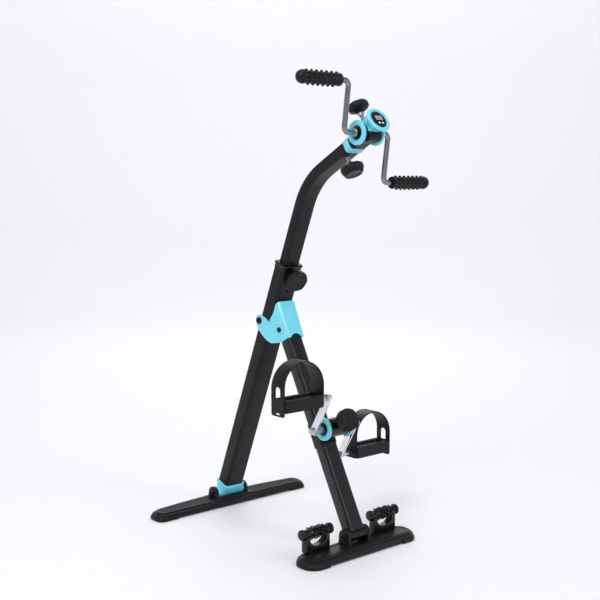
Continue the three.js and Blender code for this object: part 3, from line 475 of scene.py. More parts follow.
def hex_nut(across, width, start):
    """A chamfered nut about X from a station outwards."""
    radius = across / math.sqrt(3)
    rings = []
    for station, size in ((0, 0.9), (0.5, 1.0), (width - 0.5, 1.0), (width, 0.9)):
        ring = []
        for i in range(6):
            angle = math.radians(60 * i)
            reach = radius * size
            ring.append((start + station, reach * math.cos(angle), reach * math.sin(angle)))
        rings.append(ring)
    return loft(rings)


def socket_head(start, radius, width):
    """A round screw head about X, domed at its rim, with a round recess for its socket."""
    return lathe([
        (start, radius), (start + width - 1.2, radius), (start + width - 0.5, radius - 0.35),
        (start + width, radius - 1.1), (start + width, radius * 0.48),
        (start + width * 0.35, radius * 0.44),
    ], 40)


def on_side(form, sign):
    """A form drawn for the right side, or half a turn of it about Z for the left."""
    return form if sign > 0 else form.turned(180, "Z")


def knob_form(radius, thickness, reach, cone=0.3, crown=0.985):
    """A clamping knob along +Z: a short cone from the stem out to a softly lobed drum.

    The crown is the share of the full radius left at the drum's outer edge.
    """
    lobes, sides = 7, 140

    def outline(scale):
        points = []
        for i in range(sides):
            angle = 2 * math.pi * i / sides
            ripple = 0.98 + 0.02 * math.cos(lobes * angle) if scale > 0.6 else 0.98
            size = radius * scale * ripple
            points.append((size * math.cos(angle), size * math.sin(angle)))
        return points

    rise = thickness * cone
    top = reach + thickness
    levels = [
        (reach - 4.2, 0.36), (reach - 0.6, 0.38), (reach, 0.46), (reach + rise * 0.4, 0.68),
        (reach + rise * 0.9, 0.93), (reach + rise, 0.965), (reach + rise + 0.9, 0.99),
        (reach + rise + 2.4, 1.0), (reach + thickness * 0.55, 1.0), (top - 2.6, crown),
        (top - 1.2, crown - 0.02), (top - 0.4, crown - 0.055), (top, crown - 0.105),
        (top - 0.1, crown - 0.165), (top - 0.9, crown - 0.205), (top - 1.2, 0.5),
    ]
    return loft([[(x, y, z) for x, y in outline(scale)] for z, scale in levels])


def stud_form(radius, length):
    """A threaded stud along +Z: fine ridges instead of a true helix."""
    pitch, crest, depth = 1.25, 0.6, 0.45
    profile = [(0.0, radius - 0.8), (0.8, radius)]
    station = 1.4
    while station < length - 0.8:
        profile += [(station, radius - depth), (station + crest, radius)]
        station += pitch
    profile.append((length, radius))
    return lathe_z(profile, 32)


def clamp_knob(name, knob, stud, at, seat, height=0.0):
    """A knob and its stud on a seat in front of the frame's middle, or behind it if above 0."""
    turn = 90 if seat < 0 else -90
    for part, material, form in (("grip", MOULDED, knob), ("stud", STEEL, stud)):
        piece(f"{name}_{part}", f"{name}_knob", material,
              form.turned(turn).moved(y=seat, z=height), at,
              [f"{name}_knob"] if part == "grip" else ())


# ------------------------------------------------------------------ bases


def rear_outline(grow):
    """The rear base from above: straight in front, bowed behind, with round ends."""
    front, back = REAR_FRONT - grow, REAR_BACK_END + grow
    x, low, high = REAR_HALF + grow - REAR_CORNER, front + REAR_CORNER, back - REAR_CORNER
    points = arc(x, low, REAR_CORNER, -90, 0) + arc(x, high, REAR_CORNER, 0, 90)
    steps, bow = 24, REAR_BACK - REAR_BACK_END
    for i in range(1, steps):
        across = 1 - 2 * i / steps
        points.append((x * across, back + bow * (1 - across * across)))
    return points + arc(-x, high, REAR_CORNER, 90, 180) + arc(-x, low, REAR_CORNER, 180, 270)


def front_outline(grow):
    return rounded(
        2 * (FRONT_HALF + grow), 2 * (FRONT_DEPTH + grow), FRONT_DEPTH - 4 + grow, 12)


def deck_form(outline):
    """A skirt, a rounded shoulder and a raised deck inside it."""
    skirt = [(BEAM_BOTTOM, -1.0), (BEAM_BOTTOM + 1, 0.0), (BEAM_EDGE_TOP - 3.0, 0.0)]
    shoulder = [(BEAM_EDGE_TOP - 1.2, -0.5), (BEAM_EDGE_TOP - 0.3, -1.6), (BEAM_EDGE_TOP, -3.2)]
    deck = [(BEAM_EDGE_TOP + 0.1, -5.0), (BEAM_TOP - 1.4, -5.2), (BEAM_TOP - 0.4, -5.8)]
    return stack(outline, skirt + shoulder + deck + [(BEAM_TOP, -7.2)])


def shoe_form(outline, half, sign):
    """A rubber shoe round the end of a base, cut off square on its inner side.

    Points beyond the cut are pushed onto it, which leaves a flat flap behind a bowed edge.
    """
    def clipped(grow):
        inner = half - SHOE_LENGTH
        return [(max(x * sign, inner) * sign, y) for x, y in outline(grow)]

    levels = [(0.0, 1.2), (0.6, 2.2), (2.0, 2.6), (6.0, 2.5), (8.2, 1.9), (FOOT_TOP, 0.5)]
    return stack(clipped, levels)


def ear_form(inner, thickness, pivot_y, pivot_z, sign):
    """One round-topped ear, splayed where it meets the deck."""
    toe, heel = EAR_RADIUS + 4, EAR_RADIUS + 1.5
    outline = [(pivot_y - toe, BEAM_TOP - 2), (pivot_y + toe, BEAM_TOP - 2),
               (pivot_y + heel, BEAM_TOP + 1.5)]
    outline += arc(pivot_y, pivot_z, EAR_RADIUS, 10, 170, 24)
    outline.append((pivot_y - heel, BEAM_TOP + 1.5))
    x0, x1 = sorted((inner * sign, (inner + thickness) * sign))
    return slab_x(outline, x0, x1, 1.2)


def ribs(reach, x_start, y_range, pitch, top):
    """Fine ribs along X on the deck, each a low bar with sloping sides."""
    foot, crest, end_margin, shortest = 0.75, 0.5, 12, 12
    forms = []
    y = y_range[0]
    while y <= y_range[1]:
        x_end = min(REAR_HALF - end_margin, reach(y))
        if x_end - x_start > shortest:
            section = [(y - foot, top - 0.4), (y + foot, top - 0.4), (y + crest, top + 0.35),
                       (y - crest, top + 0.35)]
            forms.append(loft([[(x, a, b) for a, b in section] for x in (x_start, x_end)]))
        y += pitch
    return together(forms)


def rear_base():
    beam = deck_form(rear_outline)
    rib_inset, rib_corner = 9.0, 8

    def reach(y):
        """How far a rib runs before the round corners or the bowed back edge."""
        straight = REAR_HALF - rib_corner - REAR_CORNER
        back = REAR_BACK_END - rib_inset
        if y > back:
            share = max(1 - (y - back) / (REAR_BACK - REAR_BACK_END), 0.0)
            return straight * math.sqrt(share)
        low, high = REAR_FRONT + REAR_CORNER, back - REAR_CORNER + rib_corner
        over = max(low - y, y - high, 0.0)
        return straight + math.sqrt(max(rib_corner ** 2 - over * over, 0.0)) - 1

    panel = ribs(reach, 58, (REAR_FRONT + 9, REAR_BACK - 10), 3.1, BEAM_TOP)
    centre = box_form((-56, REAR_FRONT + 7, BEAM_TOP - 1), (56, REAR_BACK - 9, BEAM_TOP + 1.0))
    skirt = box_form((-52, REAR_FRONT - 0.6, BEAM_BOTTOM + 0.4),
                     (52, REAR_FRONT + 3, BEAM_EDGE_TOP - 2))
    ears = together(ear_form(38.0, 9.0, 0.0, PIVOT_HEIGHT, sign) for sign in (-1, 1))
    well = lathe([(-37.8, EAR_RADIUS + 2.4), (37.8, EAR_RADIUS + 2.4)], 64)
    well = well.moved(z=PIVOT_HEIGHT)
    body = beam + centre + skirt + ears
    piece("rear_base_shell", "rear_base", MOULDED, body, REAR_AT, ["rear_base_beam"],
          cuts=[(well, REAR_AT)], sharp=32)
    mirror = panel.through(Matrix.Scale(-1, 4, (1, 0, 0)))
    piece("rear_base_ribs", "rear_base", MOULDED, panel + mirror, REAR_AT)
    for side, sign in SIDES.items():
        piece(f"rear_shoe_{side}", "rear_base", RUBBER,
              shoe_form(rear_outline, REAR_HALF, sign), REAR_AT, [f"rear_base_foot_{side}"])
        head = on_side(socket_head(47.3, 6.6, 3.6), sign).moved(z=PIVOT_HEIGHT)
        piece(f"rear_pivot_head_{side}", "rear_base", MOULDED, head, REAR_AT,
              ["rear_pivot_bolt"] if sign < 0 else ())


def tooth(angle, station):
    """One rubber tooth of a roller, pointing out from its axle."""
    spike = peg(2.3, 6.7, 1.9, 14).moved(z=7.2)
    return spike.turned(angle, "X").moved(x=station)


def roller_form():
    """A roller's core with a flange at each end and rows of teeth, each row set off by half."""
    core = [(-41, 6.5), (-40.4, 9.2), (-39, 10.7), (-37, 11.2), (-34, 11.2), (-32.6, 10.6),
            (-32, 9.2), (-31.6, 5.6), (-21.8, 5.6), (-21.4, 8.0), (-20.6, 8.4)]
    mirrored = [(-station, radius) for station, radius in reversed(core)]
    form = lathe(core + mirrored, 48)
    per_row, row_pitch = 9, 8.6
    step = 360 / per_row
    for row in range(-2, 3):
        turn = step / 2 if row % 2 else 0
        form = form + together(tooth(step * i + turn, row * row_pitch) for i in range(per_row))
    return form


def roller_bracket_form():
    deck, half, upright, depth = BEAM_TOP + 0.3, 31.0, 9.0, 16.0
    scoop = half - upright
    outline = [(-half, deck), (half, deck), (half, ROLLER_HEIGHT)]
    outline += [(scoop, ROLLER_HEIGHT)]
    outline += [(scoop * math.cos(a), ROLLER_HEIGHT - 8 - 18 * math.sin(a))
                for a in [math.radians(180 * i / 28) for i in range(29)]]
    outline += [(-scoop, ROLLER_HEIGHT), (-half, ROLLER_HEIGHT)]
    plate = slab_x(outline, -depth / 2, depth / 2, 1.0).turned(-90, "Z")
    seats = Form()
    for sign in (-1, 1):
        x0, x1 = sorted((scoop * sign, half * sign))
        ring = [(x0, 8.6), (x0 + 0.8, 9.6), (x1 - 0.8, 9.6), (x1, 8.6), (x1, 6.3), (x0, 6.3)]
        seats = seats + lathe(ring, 48, closed=True).moved(z=ROLLER_HEIGHT)
    return plate + seats


def front_base():
    beam = deck_form(front_outline)
    pivot_y = (joint_point("front_base_pivot").y - middle_of("front_base_foot_left").y) / MM
    pivot_z = joint_point("front_base_pivot").z / MM
    ears = together(ear_form(23.0, 8.0, pivot_y, pivot_z, sign) for sign in (-1, 1))
    rim = section_stack({"width": 2 * FRONT_HALF - 22, "depth": 40, "corner": 19},
                        [(BEAM_TOP - 1, 0), (BEAM_TOP + 0.2, 0), (BEAM_TOP + 0.9, -0.8),
                         (BEAM_TOP + 0.2, -1.8), (BEAM_TOP - 0.8, -1.9)]).moved(y=-2)
    well = lathe([(-22.8, EAR_RADIUS + 1), (22.8, EAR_RADIUS + 1)], 48)
    well = well.moved(y=pivot_y, z=pivot_z)
    piece("front_base_shell", "front_base", MOULDED, beam + ears, FRONT_AT, ["front_base_beam"],
          cuts=[(well, FRONT_AT)], sharp=32)
    piece("front_deck_rim", "front_base", MOULDED, rim, FRONT_AT, cuts=[(well, FRONT_AT)])
    for side, sign in SIDES.items():
        piece(f"front_shoe_{side}", "front_base", RUBBER,
              shoe_form(front_outline, FRONT_HALF, sign), FRONT_AT,
              [f"front_base_foot_{side}"])
        head = on_side(socket_head(31.3, 6.6, 3.6), sign).moved(y=pivot_y, z=pivot_z)
        piece(f"front_pivot_head_{side}", "front_base", MOULDED, head, FRONT_AT,
              ["front_pivot_bolt"] if sign < 0 else ())
        at_bracket = place(Vector((sign * ROLLER_X * MM, joint_point(f"roller_{side}_turn").y, 0)))
        piece(f"roller_cradle_{side}", "front_base", SHINY, roller_bracket_form(), at_bracket,
              [f"roller_bracket_{side}"], sharp=35)
        piece(f"spiked_roller_{side}", f"roller_{side}", SHINY, roller_form(), ROLLER_AT[side],
              [f"massage_roller_{side}"])


# ------------------------------------------------------------------ post and mast


def post():
    tube = section_stack(POST, [(POST["foot"], 0), (POST["top"], 0)])
    hole = lathe_z([(0, 2.6), (40, 2.6)], 24).turned(90, "X").moved(z=HEIGHT_HOLE - 37)
    boss = lathe_z([(10, 9), (20.6, 9), (21.4, 8.2)], 48).turned(90, "X").moved(z=HEIGHT_HOLE)
    piece("post_shaft", "post", SATIN, tube, POST_AT, ["post_tube"], cuts=[(hole, POST_AT)])
    piece("post_boss", "post", SATIN, boss, POST_AT)

    lip = section_stack(POST, [
        (POST["top"] - 9, 0.1), (POST["top"] - 8.6, 0.7), (POST["top"] + 0.2, 0.9),
        (POST["top"] + 0.4, 1.9), (POST["top"] + 1.2, 2.5), (POST["top"] + 4.2, 2.5),
        (POST["top"] + 5.2, 1.9), (POST["top"] + 5.6, 0.9)])
    throat = section_stack(MAST, [(POST["top"] - 20, 0.35), (POST["top"] + 10, 0.35)])
    piece("post_collar", "post", SHINY, lip, POST_AT, ["post_bushing"], cuts=[(throat, POST_AT)])

    cuff()
    for side, sign in SIDES.items():
        head = on_side(socket_head(CHEEK + 0.3, 7.6, 4.0), sign)
        piece(f"fold_screw_head_{side}", "post", SHINY, head, FOLD_AT, [f"fold_screw_{side}"])

    clamp_knob("height", knob_form(23.0, 21.0, 14.0), stud_form(5.0, 12.0), POST_AT,
               -MAST["depth"] / 2 - TUBE_SEAT, HEIGHT_HOLE)


def cuff():
    """The blue socket: barrel below, walls that flare to a rim dipping in front and behind."""
    width, depth, dip = 54, 33, 5.0
    shoulder, rim = 12, 27.0
    levels = [(-9, -10), (-6, -5), (-2, -1.6), (3, 0), (8, 0.8), (13, 1.8), (18, 3.0),
              (22, 3.8), (25.5, 4.2), (rim, 3.4)]
    rings = []
    for height, grow in levels:
        corner = 8 if grow > -4 else 3.0
        share = max(0.0, (height - shoulder) / (rim - shoulder))
        ring = []
        for x, y in rounded(width + grow, depth + 2.2 * grow, corner, 9):
            drop = dip * share * math.cos(math.pi * x / (width + 4)) ** 2
            ring.append((x, y, height - drop))
        rings.append(ring)
    barrel = lathe([(-37.5, 12.6), (-36.5, 13.9), (36.5, 13.9), (37.5, 12.6)], 64)
    socket = section_stack(POST, [(15.7, 0.35), (40, 0.35)])
    piece("cuff_socket", "post", BLUE, loft(rings) + barrel, POST_AT, ["rear_cuff"],
          melt=(0.6, 9), cuts=[(socket, POST_AT)])


def mast_path():
    bend = math.radians(MAST_BEND)
    corner = MAST["bend"] + MAST["radius"] * math.tan(bend / 2)
    reach = MAST["end"] + corner - MAST["bend"]
    end = (0, -reach * math.sin(bend), corner + reach * math.cos(bend))
    return bent_path([(0, 0, MAST["foot"]), (0, 0, corner), end], MAST["radius"], 24)


def mast():
    section = rounded(MAST["width"], MAST["depth"], MAST["corner"])
    tube = sweep(section, mast_path(), Vector((1, 0, 0)))
    hole = lathe_z([(0, 2.4), (40, 2.4)], 24).turned(90).moved(z=HEIGHT_HOLE + HOLE_PITCH)
    piece("mast_shaft", "mast", SATIN, tube, POST_AT, ["mast_tube", "mast_glide"],
          cuts=[(hole, POST_AT)])

    band = {"width": 44.6, "depth": 28.6, "corner": 8}
    levels = [(-12, -1.4), (-11.4, -0.5), (-10, 0), (-7.4, 0), (-6.8, -0.9), (-5.6, -0.9),
              (-5.0, 0), (-1.6, 0), (0.4, -0.4), (1.6, -1.0), (2.4, -1.9)]
    bore = section_stack(MAST, [(-20, 0.3), (0.3, 0.3)])
    neck = section_stack(NECK, [(-20, 0.3), (9, 0.3)])
    piece("mast_ring", "mast", BLUE, section_stack(band, levels), MAST_END_AT, ["mast_collar"],
          cuts=[(bore, MAST_END_AT), (neck, MAST_END_AT)])

    clamp_knob("head_lock", knob_form(24.0, 21.0, 20.0, 0.12, crown=0.84), stud_form(4.0, 17.0),
               MAST_END_AT, -NECK["depth"] / 2 - TUBE_SEAT, -LOCK_SETBACK)


# ------------------------------------------------------------------ head and hand crank


def ring_form(barrel):
    """A fat round ring, nearly a half circle in section, that turns in to a dark bore."""
    start = barrel + 0.3
    end = start + RING_WIDTH
    middle, reach = start + 2.6, RING_WIDTH - 2.6
    crown = RING_RADIUS - 4.6
    profile = [(start, 9.2), (start, RING_RADIUS - 1.6), (start + 0.8, RING_RADIUS - 0.5)]
    for angle in range(90, -91, -15):
        turn = math.radians(angle)
        wide = 4.6 if angle > 0 else 6.4
        profile.append((middle + reach * math.cos(turn), crown + wide * math.sin(turn)))
    profile += [(end - RING_WIDTH + 2.2, crown - 6.6), (end - RING_WIDTH + 2.0, 9.2)]
    return lathe(profile, 80, closed=True)


def bush_form(barrel):
    """Black bush in the ring's bore, dished round the axle."""
    start = barrel + 0.3
    profile = [(start + 0.6, 8.4), (start + 0.6, 12.9), (start + 3.4, 13.2), (start + 4.4, 12.4),
               (start + 4.0, 10.8), (start + 3.2, 9.8), (start + 3.0, 8.4)]
    return lathe(profile, 64, closed=True)


def end_fittings(body, at, barrel, side, sign):
    """The blue ring and the black bush at one end of a crank's barrel."""
    piece(f"{body}_end_ring_{side}", body, BLUE, on_side(ring_form(barrel), sign), at,
          [f"{body}_ring_{side}"])
    piece(f"{body}_bush_{side}", body, SHINY, on_side(bush_form(barrel), sign), at,
          [f"{body}_bearing_{side}"])


def head_shell_piece():
    to_head = HEAD_AT.inverted() @ DISPLAY_AT
    flare = [(-24, 9), (-22, 12), (-18, 14.6), (-13, 17), (-8, 20), (-4, 23.2), (-1.6, 25.6),
             (0.2, 26.8), (2.0, 26.9), (3.4, 26.0), (4.2, 24.4), (4.4, 22.4), (4.0, 20.0),
             (2.6, 18.6), (0.2, 18.3)]
    pod = lathe_z(flare, 72).through(to_head)
    saddle = lathe([(-15, 22.4), (-13.6, 23.9), (13.6, 23.9), (15, 22.4)], 72)
    knee = lathe_z([(10, 17.0), (30, 14.6), (34, 13)], 48).turned(-30, "X")
    trim = [
        (box_form((-60, -60, -60), (60, 3.0, 7.5)).turned(-4), HEAD_AT),
        (box_form((-60, -60, -60), (60, 60, -9.0)), HEAD_AT),
        (lathe([(-60, BARREL_RADIUS + 0.25), (60, BARREL_RADIUS + 0.25)], 64), HEAD_AT),
        (lathe_z([(0.15, 18.4), (30, 18.4)], 64), DISPLAY_AT),
    ]
    piece("head_cover", "head", BLUE, pod + saddle + knee, HEAD_AT, ["head_shell"],
          melt=(0.6, 5), cuts=trim)


def head():
    housing = lathe([(-22, 18.6), (-20.8, 19.8), (20.8, 19.8), (22, 18.6)], 72)
    chin = lathe([(-16, 9.0), (-15, 10.8), (15, 10.8), (16, 9.0)], 48).moved(y=-14, z=12)
    block = section_stack({"width": 40, "depth": 27, "corner": 7},
                          [(-HEAD_REACH + 2.9, -0.6), (-HEAD_REACH + 4, 0), (-6, 0)])
    neck = section_stack(NECK, [(-HEAD_REACH - 50, 0), (-HEAD_REACH + 8, 0)])
    piece("head_casting", "head", MOULDED, housing + chin + (block + neck).moved(y=-HEAD_RISE),
          HEAD_AT, ["head_housing"], melt=(0.6, 6))
    head_shell_piece()

    button_x, button_y = 4.4, -9.5
    lens = [(0.5, DISPLAY_RADIUS - 0.8), (1.2, DISPLAY_RADIUS - 0.1), (3.0, DISPLAY_RADIUS - 0.1),
            (4.0, DISPLAY_RADIUS - 0.9), (4.5, DISPLAY_RADIUS - 2.2), (4.9, DISPLAY_RADIUS - 6),
            (5.1, 4.0)]
    window = box_form((-9.6, -2.8, 4.2), (9.6, 8.0, 9))
    well = lathe_z([(1.2, 2.6), (9, 2.6)], 32)
    wells = together(well.moved(x=sign * button_x, y=button_y) for sign in (-1, 1))
    piece("display_lens", "head", SHINY, lathe_z(lens, 80), DISPLAY_AT, ["display_bezel"],
          cuts=[(window, DISPLAY_AT), (wells, DISPLAY_AT)], edge=0.25)
    glass = section_stack({"width": 19.0, "depth": 10.6, "corner": 1.2},
                          [(4.0, 0), (4.5, 0), (4.7, -0.3)]).moved(y=2.6)
    piece("display_window", "head", LCD, glass, DISPLAY_AT, ["display_screen"])
    for side, sign in SIDES.items():
        cap = lathe_z([(2.5, 2.2), (5.0, 2.2), (5.6, 1.9), (5.9, 1.3)], 40)
        piece(f"display_cap_{side}", f"display_button_{side}", WHITE,
              cap.moved(x=sign * button_x, y=button_y), DISPLAY_AT, [f"display_button_{side}"])
        end_fittings("head", HEAD_AT, HEAD_BARREL, side, sign)

    nut = lathe_z([(17.5, 5.5), (18.5, 6.4), (21.0, 6.4), (21.5, 7.6), (23.5, 7.6)], 48)
    clamp_knob("resistance", knob_form(21.5, 18.0, 27.0, 0.34), stud_form(4.0, 25.0) + nut,
               shifted(HEAD_AT, z=STEM_FORWARD), PAD_SEAT)


def grip_form():
    """Rubber grip about X from its flared skirt to its domed end, with staggered bumps."""
    start, end, radius = GRIP_START, GRIP_END, GRIP_RADIUS
    profile = [(start, 7.0), (start + 0.2, 10.6), (start + 1.2, 12.2), (start + 3.2, 12.7),
               (start + 5.4, 12.1), (start + 7, radius - 0.3), (end - 19, radius - 0.3),
               (end - 17, radius + 0.6)]
    dome = 13.4
    for angle in range(100, 14, -17):
        turn = math.radians(angle)
        profile.append((end - dome + dome * math.cos(turn), dome * math.sin(turn)))
    profile.append((end, 1.0))
    form = lathe(profile, 64)
    first, pitch, per_turn, turns = start + 10.5, 12.4, 8, 6
    for i in range(per_turn * turns + 4):
        bump = peg(3.6, 4.6, 3.4, 16).moved(z=radius - 1.6).turned(360 * i / per_turn)
        form = form + bump.moved(x=first + pitch * i / per_turn)
    return form


def hand_crank():
    for side, sign in SIDES.items():
        reach = -sign * HAND_RADIUS
        path = bent_path([(sign * 14.3, 0, 0), (sign * ROD_X, 0, 0), (sign * ROD_X, 0, reach),
                          (sign * (GRIP_END - 8), 0, reach)], ROD_BEND, 12)
        rod = sweep(circle(ROD_RADIUS, 36), path, Vector((0, 1, 0)))
        nodes = [f"hand_crank_{side}"] + (["hand_axle"] if sign < 0 else [])
        # The rods take the darkened copy of the chrome: painted shade on the plating.
        piece(f"hand_rod_{side}", "hand_crank", SHADED_ROD_CHROME, rod, HAND_AT, nodes)
        sleeve = lathe([(29.0, 5.7), (29.0, 7.9), (33.2, 7.9), (33.9, 7.2), (33.9, 5.7)], 48, True)
        piece(f"hand_sleeve_{side}", "hand_crank", STEEL, on_side(sleeve, sign), HAND_AT)
        grip = on_side(grip_form(), sign).moved(z=reach)
        piece(f"rubber_grip_{side}", f"grip_{side}", RUBBER, grip, HAND_AT, [f"grip_{side}"])


# ------------------------------------------------------------------ fold bracket and leg


def refined_copy(name, body, material, node, width):
    """The CAD node's own shape with its flat faces merged and its edges rounded."""
    mesh = frame["nodes"][node].data.copy()
    mesh.materials.clear()
    draft = bmesh.new()
    draft.from_mesh(mesh)
    bmesh.ops.remove_doubles(draft, verts=draft.verts, dist=2e-5)
    bmesh.ops.dissolve_limit(draft, angle_limit=math.radians(1.5), verts=draft.verts,
                             edges=draft.edges)
    draft.to_mesh(mesh)
    draft.free()
    thing = linked(name, mesh)
    bevel(thing, width, angle=28, segments=4)
    finish_surface(thing, material, sharp=42)
    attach(thing, body)
    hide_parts(node)


def leg():
    refined_copy("fold_hood", "leg", BLUE, "fold_bracket", 1.1)
    tube = section_stack(LEG, [(LEG["foot"], 0), (LEG["top"], 0)])
    barrel = lathe([(-22.6, 12.8), (-21.8, 13.8), (21.8, 13.8), (22.6, 12.8)], 56)
    piece("leg_shaft", "leg", GLOSS, tube, LEG_AT, ["leg_tube"])
    piece("leg_foot_barrel", "leg", SHINY, barrel, LEG_AT)
    for side, sign in SIDES.items():
        head = on_side(socket_head(24.3, 5.8, 2.8), sign).moved(z=LEG_BOLT)
        piece(f"leg_bolt_head_{side}", "leg", SHINY, head, LEG_AT,
              ["leg_bolt"] if sign < 0 else ())

    sleeve = section_stack({"width": LEG["width"], "depth": LEG["depth"], "corner": 6},
                           [(FOOT_UP - 28, 0.9), (FOOT_UP - 27.2, 1.8), (FOOT_UP - 26, 2.0),
                            (FOOT_UP + 24, 2.0), (FOOT_UP + 25.2, 1.8), (FOOT_UP + 26, 0.9)])
    web = section_stack({"width": 36, "depth": 40, "corner": 6},
                        [(-17, -1), (-15, 0), (15, 0), (17, -1)])
    web = web.moved(y=-FOOT_FORWARD + 14, z=FOOT_UP)
    barrel = lathe([(-28, 18.6), (-26.8, 19.8), (26.8, 19.8), (28, 18.6)], 72)
    barrel = barrel.moved(y=-FOOT_FORWARD, z=FOOT_UP)
    channel = section_stack(LEG, [(100, 0.25), (400, 0.25)])
    piece("crank_sleeve", "leg", SHINY, sleeve + web + barrel, LEG_AT, ["crank_saddle"],
          melt=(0.7, 5), cuts=[(channel, LEG_AT)])
    for side, sign in SIDES.items():
        end_fittings("leg", LEG_CRANK_AT, LEG_BARREL, side, sign)
    clamp_knob("tension", knob_form(24.0, 26.0, 11.0, 0.2), stud_form(4.0, 9.0), LEG_CRANK_AT,
               -PAD_SEAT)


# ------------------------------------------------------------------ foot crank and pedals


def arm_form(sign):
    """A flat chromed arm, a stadium that narrows a little towards the pedal."""
    steps = 16
    outline = []
    for centre, radius, start in ((0, 8.5, 180), (FOOT_RADIUS, 7.5, 0)):
        outline += arc(0, centre, radius, start, start + 180, steps)
    x0, x1 = sorted(sign * (ARM_X + share * ARM_THICKNESS) for share in (-0.5, 0.5))
    if sign > 0:
        outline = [(-y, -z) for y, z in outline]
    return slab_x(outline, x0, x1, 1.1)


def foot_crank():
    axle = lathe([(-51.8, 6.5), (-51, 7.9), (51, 7.9), (51.8, 6.5)], 48)
    piece("foot_spindle", "foot_crank", STEEL, axle, FOOT_AT, ["foot_axle"])
    for side, sign in SIDES.items():
        reach = -sign * FOOT_RADIUS
        piece(f"flat_arm_{side}", "foot_crank", CHROME, arm_form(sign), FOOT_AT,
              [f"crank_arm_{side}"])
        face = ARM_X + ARM_THICKNESS / 2
        nut = hex_nut(13, 5.4, face + 0.1) + lathe([(face + 5, 4.6), (face + 7.4, 4.2)], 32)
        washer = lathe([(face - 6.6, 10), (face - 5.2, 10)], 40)
        piece(f"arm_nut_{side}", "foot_crank", STEEL, on_side(nut + washer, sign), FOOT_AT)
        pin = lathe([(face - 8.0, 5.2), (face - 7.2, 5.9), (face - 5.2, 5.9), (face, 5.9),
                     (face + 0.1, 7.4), (face + 2.6, 7.4),
                     (face + 3.0, 5.3), (PEDAL_X - PEDAL_HALF + 2, 5.3),
                     (PEDAL_X + PEDAL_HALF - 9, 5.0)], 40)
        flats = hex_nut(14, 4.2, face + 2.6)
        piece(f"pedal_spindle_{side}", "foot_crank", STEEL,
              on_side(pin + flats, sign).moved(z=reach), FOOT_AT, [f"pedal_axle_{side}"])


def tread_form():
    """Pedal body for the right side: two ridged rails, cross ribs, cheeks and a solid round hub.
    """
    half, depth, rail = PEDAL_HALF - 3.6, PEDAL_DEPTH / 2, 12.0
    forms = []
    for sign in (-1, 1):
        y0, y1 = sorted((depth * sign, (depth - 9) * sign))
        outline = [(y0, -rail), (y1, -rail)]
        top = [(y1, rail - 1.2)]
        steps = 4
        for i in range(steps):
            share = (i + 0.5) / steps
            y = y1 + (y0 - y1) * share
            step = (y1 - y0) / steps / 2
            top += [(y + step * 0.8, rail - 1.2), (y + step * 0.4, rail), (y - step * 0.4, rail),
                    (y - step * 0.8, rail - 1.2)]
        outline += top + [(y0, rail - 1.2)]
        forms.append(slab_x(outline, -half, half, 0.15, 1))
    for sign in (-1, 1):
        x0, x1 = sorted((half * sign, (half - 4) * sign))
        plate = [(-depth + 1, -rail + 1), (depth - 1, -rail + 1), (depth - 1, rail - 1.4),
                 (-depth + 1, rail - 1.4)]
        forms.append(slab_x(plate, x0, x1, 0.6))
    web = [(-depth + 4, 4.0), (depth - 4, 4.0), (depth - 4, rail - 2.4), (-depth + 4, rail - 2.4)]
    for i in range(7):
        x = -half + 2 * half * (i + 0.5) / 7
        forms.append(slab_x(web, x - 1.1, x + 1.1, 0.4, 2))
    forms.append(box_form((-half + 1, -depth + 3, 1.5), (half - 1, depth - 3, 3.5)))
    forms.append(lathe([(-half + 0.5, 8.6), (half - 0.5, 8.6)], 40))
    return together(forms)


def strap_path():
    """Centreline of the strap's band from its inner foot over the crown to its outer foot."""
    half, crown = PEDAL_HALF - 1.5, STRAP_TOP - STRAP_SPRING - 1.5
    points = [(-half, -12.0), (-half, -10.4), (-half, -8.0), (-half, 18.0)]
    for i in range(25):
        angle = math.radians(180 - 180 * i / 24)
        points.append((half * math.cos(angle), STRAP_SPRING + crown * math.sin(angle)))
    return points + [(half, 18.0), (half, -15.8), (half, -18.2), (half, -19.8)]


def strap_form():
    """The band: a thin section with rolled edges that narrows over the crown."""
    points = [Vector((x, 0, z)) for x, z in strap_path()]
    rings = []
    for i, point in enumerate(points):
        before, after = points[max(i - 1, 0)], points[min(i + 1, len(points) - 1)]
        heading = (after - before).normalized()
        out = Vector((-heading.z, 0, heading.x))
        crown = max(0.0, (point.z - STRAP_SPRING) / (STRAP_TOP - STRAP_SPRING))
        wide = (PEDAL_DEPTH - 2) / 2 * (1 - 0.1 * crown)
        foot = min(i, len(points) - 1 - i)
        wide -= (4.0, 1.2, 0.3)[foot] if foot < 3 else 0.0
        section = rounded(2 * wide, 2.9, 1.3, 4)
        rings.append([point + Vector((0, 1, 0)) * a + out * b for a, b in section])
    return loft(rings)


def strap_cuts():
    """The outer leg's arched window, its two columns of small holes and its foot slot."""
    reach = (PEDAL_HALF - 6, PEDAL_HALF + 4)
    window = [(-8.2, 13.0), (8.2, 13.0)] + arc(0, 30.0, 8.2, 0, 180, 18)
    slot = [(-8, -16.8), (8, -16.8), (5.5, -13.2), (-5.5, -13.2)]
    cuts = [slab_x(window, *reach, 0.05, 1), slab_x(slot, *reach, 0.05, 1)]
    for y in (-14.2, 14.2):
        for z in (-9.0, 1.0, 19.0, 29.0):
            cuts.append(lathe([(reach[0], 1.6), (reach[1], 1.6)], 20).moved(y=y, z=z))
    return cuts


